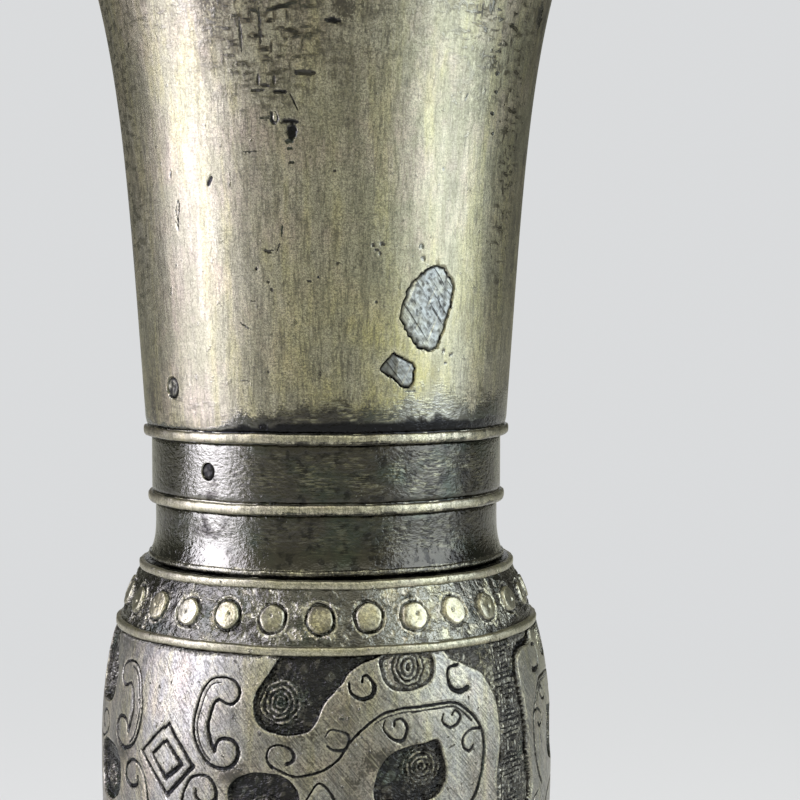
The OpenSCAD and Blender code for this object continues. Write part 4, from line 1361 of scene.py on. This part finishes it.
class GU_OT_patches(bpy.types.Operator):
    """Let the two grey patches into the neck"""

    bl_idname = "gu.patches"
    bl_label = "Neck patches"

    def execute(self, context):
        colours = context.scene.gu_colours
        material = grey_metal("patch_metal", colours.patch, 0.4, 0.9)

        def large_rise(x, y, off):
            tilt = -0.1 + 0.02 * x - 0.006 * y
            pitted = 0.06 * wander(x * 2.2, y * 2.2, 4) + 0.04 * wander(x * 6, y * 6, 9)
            seam = 0.1 * (1 - ramp(np.abs(x - 2.4 - 0.12 * y), 0.1, 0.3)) * (y > -1)
            return tilt + pitted * 0.8 - seam - 0.22 * (1 - ramp(off, 0, 0.3))

        def large_surface(x, y, off):
            seam = (1 - ramp(np.abs(x - 2.4 - 0.12 * y), 0.05, 0.25)) * (y > -1) * 0.5
            pits = ramp(wander(x * 3.4, y * 3.4, 6), 0.55, 0.9) * 0.7
            rim = 1 - ramp(off, 0.05, 0.3)
            return most(seam, pits, rim)

        def small_rise(x, y, off):
            step = 0.08 * ramp(x, -0.6, -0.2)
            return step - 0.12 + 0.05 * wander(x * 3, y * 3, 5) - 0.2 * (1 - ramp(off, 0, 0.3))

        def small_surface(x, y, off):
            left = 0.2 + 0.35 * (1 - ramp(x, -0.7, -0.2))
            return np.maximum(left, 1 - ramp(off, 0.05, 0.26))

        large = insert_piece("gu_patch_large", NECK_PATCHES[:1], large_rise, 0.16, large_surface)
        smooth_faces(large, 50)
        hand_in(large, material, "patch_metal", "neck_patch_large")
        small = insert_piece("gu_patch_small", NECK_PATCHES[1:], small_rise, 0.12, small_surface)
        smooth_faces(small, 50)
        hand_in(small, material, "patch_metal", "neck_patch_small")
        return {"FINISHED"}


class GU_OT_plugs(bpy.types.Operator):
    """Drive the round plugs into the holes of the core pins"""

    bl_idname = "gu.plugs"
    bl_label = "Core plugs"

    def execute(self, context):
        colours = context.scene.gu_colours
        material = grey_metal("plug_metal", colours.plug, 0.38, 0.5)

        def rise(x, y, off):
            return 0.05 * wander(x * 3, y * 3, 7) - 0.04 - 0.2 * (1 - ramp(off, 0, 0.35))

        def surface(x, y, off):
            pits = ramp(wander(x * 3.6, y * 3.6, 2), -0.3, 0.6) * 0.9
            return np.maximum(pits, 1 - ramp(off, 0.1, 0.4))

        def dark_surface(x, y, off):
            return surface(x, y, off) * 0.2 + 0.8

        in_neck = insert_piece("gu_neck_plugs", NECK_PLUGS, rise, 0.1, surface)
        smooth_faces(in_neck, 50)
        hand_in(in_neck, material, "plug_metal", "neck_core_plugs")
        in_collar = insert_piece("gu_collar_plugs", COLLAR_PLUGS, rise, 0.1, dark_surface)
        smooth_faces(in_collar, 50)
        hand_in(in_collar, material, "plug_metal", "collar_core_plugs")
        return {"FINISHED"}


class GU_OT_knop(bpy.types.Operator):
    """Turn the knop's core with its four border ribs, its sockets and its shoulder"""

    bl_idname = "gu.knop"
    bl_label = "Knop"

    def execute(self, context):
        sizes = context.scene.gu_sizes
        piece = turn_on_axis("gu_knop", knop_outline(), sizes.turn_steps)
        lines = [KNOP_MIDDLE + side * q for side in (-1, 1) for q in (OUTER_BORDER, INNER_BORDER)]
        hand_turned(piece, lines, sizes.rib_waver)
        rows = places(piece)
        _, radius = around(rows)
        q = rows[:, 2] - KNOP_MIDDLE
        crest = radius - knop_side(q) > -0.5
        worn = most(hump(np.abs(q) - OUTER_BORDER, 0.42, 4), hump(np.abs(q) - INNER_BORDER, 0.42, 4))
        write_on(piece, patina=np.where(crest, 0, 0.9), wear=worn * crest)
        smooth_faces(piece, 40)
        hand_in(piece, aged_bronze("knop_bronze", lines=0.2, cast=0.6), "knop_bronze", "knop")
        return {"FINISHED"}


class GU_OT_circlets(bpy.types.Operator):
    """Raise the two bands of circlets between the border ribs"""

    bl_idname = "gu.circlets"
    bl_label = "Circlets"

    def execute(self, context):
        sizes = context.scene.gu_sizes
        material = aged_bronze("circlet_bronze", grey=0.6, lines=0, scratches=0.4, blotches=0.4,
                               mottle=0.1, cast=0.35, gloss=0.22)
        for side in (1, -1):
            name = "gu_circlets_upper" if side > 0 else "gu_circlets_lower"
            hand_in(self.band(name, side, sizes), material, "knop_bronze")
        return {"FINISHED"}

    def band(self, name, side, sizes):
        low = INNER_BORDER + 0.25
        high = OUTER_BORDER - 0.25
        outline = [(knop_side(q) - BAND_SINK, q) for q in steps_between(low, high, 15)]
        outline += [(knop_side(q) - 1.4, q) for q in steps_between(high, low, 4)]
        piece = turn_on_axis(name, [(r, KNOP_MIDDLE + side * q) for r, q in outline], 360)
        radius = sizes.circlet_width / MM / 2
        rise = sizes.circlet_rise / MM
        rim = knop_side(CIRCLET_ROW)
        centres = []
        for i in range(sizes.circlet_count):
            turn = math.degrees(sizes.circlet_azimuth) + 360 * i / sizes.circlet_count
            seed = i * 1.9 + side
            centres.append((turn + 0.25 * math.sin(seed * 7), CIRCLET_ROW + 0.1 * math.sin(seed * 5),
                            radius * (1 + 0.05 * math.sin(seed * 3)), seed))

        def from_centre(azimuth, turn):
            return turned_from(azimuth, turn) * math.radians(1) * rim

        def flat(rows):
            azimuth, away = around(rows)
            q = (rows[:, 2] - KNOP_MIDDLE) * side
            return azimuth, q, away > knop_side(q) - BAND_SINK - 0.3

        def near_circlet(rows, reach):
            azimuth, q, front = flat(rows)
            found = np.zeros(len(rows), bool)
            for turn, row, size, _ in centres:
                found |= np.hypot(from_centre(azimuth, turn), q - row) < size + 0.62 + reach * 0.4
            return found & front

        refine(piece, near_circlet, (0.8, 0.3))
        rows = places(piece)
        azimuth, q, front = flat(rows)
        run = azimuth * math.radians(1) * rim
        height = 0.09 * wander(run * 3, q * 3, 3 + side) + 0.08 * wander(run * 8, q * 8, 5)
        patina = 0.64 + 0.24 * wander(run * 1.1, q * 1.1, 6)
        patina -= 0.4 * ramp(wander(run * 7, q * 7, 12), 0.55, 0.85)
        turned = turned_from(azimuth)
        # Painted highlight: round azimuth 30, where the right panel's highlight falls, less patina leaves
        # lighter metal.
        shine = hump(turned - 30, 17)
        patina -= 0.3 * shine * (0.4 + 0.6 * wander(run * 4, q * 4, 15))
        wear = ramp(wander(run * 6, q * 6, 9), 0.5, 0.9) * 0.2
        soot, gold = np.zeros((2, len(rows)))
        for turn, row, size, seed in centres:
            across = from_centre(azimuth, turn)
            near = np.flatnonzero((np.abs(across) < 3) & (np.abs(q - row) < 3) & front)
            x = across[near]
            y = q[near] - row
            angle = np.arctan2(y, x)
            uneven = 1 + 0.03 * np.sin(angle * 2 + seed) + 0.02 * np.sin(angle * 5 + seed)
            away = np.hypot(x, y * 1.03) * uneven
            tilt = 0.05 * (x * math.sin(seed * 2) + y * math.cos(seed * 3)) / size
            domed = rise * (1 - 0.16 * (away / size) ** 4)
            top = domed - 0.05 + 0.02 * wander(x * 3, y * 3, seed) + tilt
            boss = 1 - ramp(away, size - 0.1, size + 0.12)
            groove = hump(away - size - 0.26, 0.17)
            outer_ring = hump(away - size - 0.58, 0.13) * (0.6 + 0.4 * np.sin(angle + seed))
            off_middle = np.hypot(x - 0.45 * math.sin(seed * 11), y - 0.4 * math.sin(seed * 13 + 1))
            dimple = (1 - ramp(off_middle, 0.06, 0.3)) * (math.sin(seed * 17) > -0.4)
            height[near] = height[near] * (1 - boss) + boss * (top - 0.28 * dimple)
            height[near] += (0.14 * outer_ring - 0.24 * groove) * (1 - boss)
            # Each boss is darkened by a random amount and more round azimuth -2, and in a crescent of
            # painted shade on one side of its rim.
            dull = 0.12 + 0.1 * math.sin(seed * 2.3) + 0.3 * hump(math.remainder(turn, 360) + 2, 14)
            shaded = np.clip(np.cos(angle - 2.4 + 0.6 * math.sin(seed)), 0, 1)
            soot[near] = boss * (dull + 0.5 * shaded * hump(away - size + 0.3, 0.3))
            gold[near] += boss * 0.6
            patina[near] = patina[near] * (1 - boss) + boss * 0.75 * dimple
            rubbed = patina[near] - 0.8 * outer_ring * (1 - boss)
            patina[near] = np.maximum(rubbed, groove * (1 - boss * 0.8))
            ringed = np.maximum(wear[near], 0.6 * outer_ring) * (1 - boss) * (1 - groove)
            worn = boss * (0.2 - 0.2 * dimple + 0.8 * ramp(away / size, 0.6, 0.9))
            wear[near] = np.maximum(ringed, worn)
        patina = most(patina, 1 - ramp(high - q, 0.2, 0.6), 1 - ramp(q - low, 0.2, 0.6))
        slope = knop_slope(q)
        stretch = np.sqrt(1 + slope * slope)
        away = np.hypot(rows[:, 0], rows[:, 1]) + np.where(front, height / stretch, 0)
        z = rows[:, 2] + side * np.where(front, height * slope / stretch, 0)
        put(piece, on_axis(azimuth, away, z))
        # polish on the band: a lighter black round azimuths -30 and 30, painted highlight where the
        # panels' highlights fall.
        write_on(piece, patina=patina, wear=wear, gold=gold, soot=soot,
                 polish=0.35 * hump(turned + 30, 22) + shine)
        smooth_faces(piece, 70)
        return piece


class GU_OT_masks(bpy.types.Operator):
    """Carve the two masks of the knop, each in two halves that meet on its axis"""

    bl_idname = "gu.masks"
    bl_label = "Masks"

    def execute(self, context):
        sizes = context.scene.gu_sizes
        material = aged_bronze("mask_bronze", grey=0.9, lines=0, scratches=1.0, blotches=0.8,
                               mottle=0.12, cast=0.5, gloss=0.29)
        first = math.degrees(sizes.mask_azimuth)
        right = first + TO_RIGHT_BORDER
        left = first - TO_LEFT_BORDER
        second = (right + left + 360) / 2
        halves = [
            ("gu_mask_first_left", first, left, -1, BAND_EDGE, 1.0),
            ("gu_mask_first_right", first, right, 1, BAND_EDGE, 2.0),
            ("gu_mask_second_left", second, right, -1, LEAF_EDGE, 3.0),
            ("gu_mask_second_right", second, left + 360, 1, BAND_EDGE, 4.0),
        ]
        for name, axis, border, side, edge, seed in halves:
            scale = BORDER_X / abs(border - axis)
            piece = self.half(name, axis, side, scale, MaskHalf(edge, seed, sizes), sizes)
            hand_in(piece, material, "knop_bronze")
        return {"FINISHED"}

    def half(self, name, axis, side, scale, design, sizes):
        left, right = (0, BORDER_X) if side > 0 else (-BORDER_X, 0)
        high = INNER_BORDER - 0.2
        piece = flat_tile(name, left, right, -high, high, sizes.tile_cell / MM)
        thicken(piece, 1)

        def near_cut(centres, reach):
            front = centres[:, 2] > -0.01
            x, y = centres[front, :2].T
            found = front.copy()
            found[front] = design.nearest(x, y, reach + 0.3) < reach
            return found

        refine(piece, near_cut, (1.2, 0.62, 0.34))
        rows = places(piece)
        x = rows[:, 0]
        q = rows[:, 1]
        front = rows[:, 2] > -0.5
        depth, patina, wear, soot = design.cut(x, q)
        depth += 0.02 * wander(x * 0.8, q * 0.8, 3)
        at_rib = 1 - ramp(high - np.abs(q), 0.3, 0.75 + 0.2 * wander(x, q, 4))
        depth = np.maximum(depth, 0.3 * at_rib)
        patina = np.maximum(patina, at_rib)
        off = np.where(front, depth, 1.3)
        slope = knop_slope(q)
        stretch = np.sqrt(1 + slope * slope)
        radius = knop_side(q) - off / stretch
        z = KNOP_MIDDLE + q - off * slope / stretch
        put(piece, on_axis(axis + x / scale, radius, z))
        write_on(piece, patina=patina, wear=wear, soot=soot)
        smooth_faces(piece, 75)
        return piece


class GU_OT_foot(bpy.types.Operator):
    """Turn the spreading foot with its collar and plinth"""

    bl_idname = "gu.foot"
    bl_label = "Foot"

    def execute(self, context):
        sizes = context.scene.gu_sizes
        piece = turn_on_axis("gu_foot", foot_outline(), sizes.turn_steps)
        hand_turned(piece, [KNOP_LOW - 0.5, FOOT_RIB_Z + RIB_GAP, FOOT_RIB_Z], sizes.rib_waver)
        rows = places(piece)
        azimuth, radius = around(rows)
        z = rows[:, 2]
        outside = radius > WAIST_R - 0.3
        under = np.exp(-np.abs(z - PLINTH_H - 0.2) / 0.5) * (radius < FOOT_R - 0.3)
        edge = hump(z - PLINTH_H, 0.4) * (radius > FOOT_R - 0.5)
        write_on(piece, patina=np.maximum(collar_patina(azimuth, radius, z, -1) * outside, under * 0.8),
                 gold=collar_streaks(azimuth, z, -1) * outside,
                 wear=np.maximum(rib_wear(radius, z, -1), edge * 0.8))
        smooth_faces(piece, 40)
        hand_in(piece, aged_bronze("foot_bronze", lines=0.9, scratches=0.15), "foot_bronze", "foot")
        return {"FINISHED"}


class GU_OT_inner_parts(bpy.types.Operator):
    """Finish the floor disc and the two seams of solder, which keep their solids"""

    bl_idname = "gu.inner_parts"
    bl_label = "Floor disc and solder"

    def execute(self, context):
        colours = context.scene.gu_colours
        solder = grey_metal("solder", colours.solder, 0.45, 0.2)
        raw = aged_bronze("raw_bronze", lines=0.3, scratches=0.4, blotches=1.0, gloss=0.46)
        finishes = {"floor_disc": raw, "neck_solder_seam": solder, "foot_solder_seam": solder}
        for node, material in finishes.items():
            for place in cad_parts[node].material_slots:
                place.material = material
        return {"FINISHED"}


class GU_OT_stage(bpy.types.Operator):
    """Set up the pale floor and backdrop, the studio light and the camera"""

    bl_idname = "gu.stage"
    bl_label = "Stage"

    def execute(self, context):
        studio = context.scene.gu_studio
        self.sweep(context.scene.gu_colours)
        context.scene.world = context.scene.world or bpy.data.worlds.new("studio_room")
        self.room(context.scene.world, studio, context.scene.gu_colours)
        self.strip("left_strip", -77, 0.9, (0.6, 1.3), studio.left_level, (0.82, 0.8, 1.02))
        self.strip("right_strip", 70, 1.0, (0.84, 1.2), studio.right_level, (0.84, 0.93, 1.07))
        self.overhead(studio.top_level)
        self.camera(context.scene, studio)
        context.scene.view_settings.view_transform = "Standard"
        return {"FINISHED"}

    def sweep(self, colours):
        """A wide floor that pales into the background with distance."""
        start_fresh()
        bpy.ops.mesh.primitive_grid_add(x_subdivisions=32, y_subdivisions=32, size=20, location=(0, 0, 0))
        piece = bpy.context.object
        piece.name = "studio_floor"
        material, bench = new_material("pale_floor")
        place = bench.add("ShaderNodeTexCoord", {}, {}, 3)
        away = bench.add("ShaderNodeVectorMath", {"operation": "LENGTH"}, {0: place}, 1)
        mottle = bench.noise(place, 9, 3, 0.5)
        relief = bench.reliefs((bench.noise(place, 700, 2, 0.5), 0.0002, 0.1))
        surface = bench.add("ShaderNodeBsdfPrincipled", {}, {
            "Base Color": opaque(colours.floor), "Roughness": 0.75 + mottle * 0.05, "Normal": relief,
            "Specular IOR Level": 0.2})
        pale = bench.add("ShaderNodeEmission", {}, {"Color": opaque(colours.background), "Strength": 1})
        seen = (0.56 + 0.44 * bench.between(away, 0.1, 0.7)) * bench.background_rays()
        both = bench.add("ShaderNodeMixShader", {}, {0: seen, 1: surface, 2: pale})
        bench.add("ShaderNodeOutputMaterial", {}, {"Surface": both})
        piece.data.materials.clear()
        piece.data.materials.append(material)

    def room(self, world, studio, colours):
        """The pale background, and a dimmer room that lights the vessel, brightest behind the camera."""
        bench = Bench(world)
        direction = bench.add("ShaderNodeTexCoord", {}, {}, 0)
        parts = bench.add("ShaderNodeSeparateXYZ", {}, {0: direction}, 1)
        up = bench.add("ShaderNodeSeparateXYZ", {}, {0: direction}, 2)
        behind_camera = bench.between(parts, 0.35, -0.7)
        level = studio.side_level + behind_camera * (studio.room_level - studio.side_level)
        level = level + bench.between(up, 0.3, 1) * 0.4
        light = bench.add("ShaderNodeBackground", {}, {"Color": (1, 0.99, 0.8, 1), "Strength": level})
        pale = opaque(colours.background)
        seen = bench.add("ShaderNodeBackground", {}, {"Color": pale, "Strength": 1})
        sides = {0: bench.background_rays(parts), 1: light, 2: seen}
        both = bench.add("ShaderNodeMixShader", {}, sides)
        bench.add("ShaderNodeOutputWorld", {}, {"Surface": both})

    def lamp(self, name, location, aim, size, level, tint):
        start_fresh()
        bpy.ops.object.light_add(type="AREA", location=location)
        lamp = bpy.context.object
        lamp.name = name
        lamp.data.shape = "RECTANGLE"
        lamp.data.size, lamp.data.size_y = size
        lamp.data.energy = level * size[0] * size[1] * math.pi
        lamp.data.color = tint
        lamp.visible_camera = False
        lamp.rotation_euler = (Vector(aim) - Vector(location)).to_track_quat("-Z", "Y").to_euler()
        return lamp

    def strip(self, name, azimuth, distance, size, level, tint):
        turn = math.radians(azimuth)
        place = (distance * math.sin(turn), -distance * math.cos(turn), size[1] / 2 + 0.02)
        self.lamp(name, place, (0, 0, size[1] / 2 + 0.02), size, level, tint)

    def overhead(self, level):
        self.lamp("top_panel", (0, -0.75, 1.15), (0, 0, 0.12), (1.1, 0.9), level, (1, 1, 1))

    def camera(self, scene, studio):
        start_fresh()
        bpy.ops.object.camera_add(location=CAMERA_PLACE)
        camera = bpy.context.object
        camera.name = "photo_camera"
        camera.rotation_euler = (math.radians(90 - CAMERA_DIP), 0, math.radians(CAMERA_TURN))
        camera.data.sensor_width = 36
        camera.data.lens = studio.lens
        camera.data.clip_start = 0.01
        camera.data.clip_end = 20
        scene.camera = camera


class GU_PT_panel(bpy.types.Panel):
    """Lists the pieces of the vessel and the values that shape them"""

    bl_label = "Bronze gu"
    bl_idname = "GU_PT_panel"
    bl_space_type = "VIEW_3D"
    bl_region_type = "UI"
    bl_category = "Gu"

    def draw(self, context):
        layout = self.layout
        for operator in PIECES:
            layout.operator(operator.bl_idname)
        for group in (context.scene.gu_sizes, context.scene.gu_colours, context.scene.gu_studio):
            box = layout.box()
            for name in group.__annotations__:
                box.prop(group, name)


PIECES = (GU_OT_stage, GU_OT_neck, GU_OT_patches, GU_OT_plugs, GU_OT_knop, GU_OT_circlets, GU_OT_masks,
          GU_OT_foot, GU_OT_inner_parts)
CLASSES = (GuSizes, GuColours, GuStudio, *PIECES, GU_PT_panel)


def register():
    for item in CLASSES:
        bpy.utils.register_class(item)
    bpy.types.Scene.gu_sizes = PointerProperty(type=GuSizes)
    bpy.types.Scene.gu_colours = PointerProperty(type=GuColours)
    bpy.types.Scene.gu_studio = PointerProperty(type=GuStudio)


def unregister():
    del bpy.types.Scene.gu_studio
    del bpy.types.Scene.gu_colours
    del bpy.types.Scene.gu_sizes
    for item in reversed(CLASSES):
        bpy.utils.unregister_class(item)


def main():
    """Makes every piece in turn."""
    register()
    bpy.ops.gu.stage()
    bpy.ops.gu.neck()
    bpy.ops.gu.patches()
    bpy.ops.gu.plugs()
    bpy.ops.gu.knop()
    bpy.ops.gu.circlets()
    bpy.ops.gu.masks()
    bpy.ops.gu.foot()
    bpy.ops.gu.inner_parts()


if __name__ == "__main__":
    main()
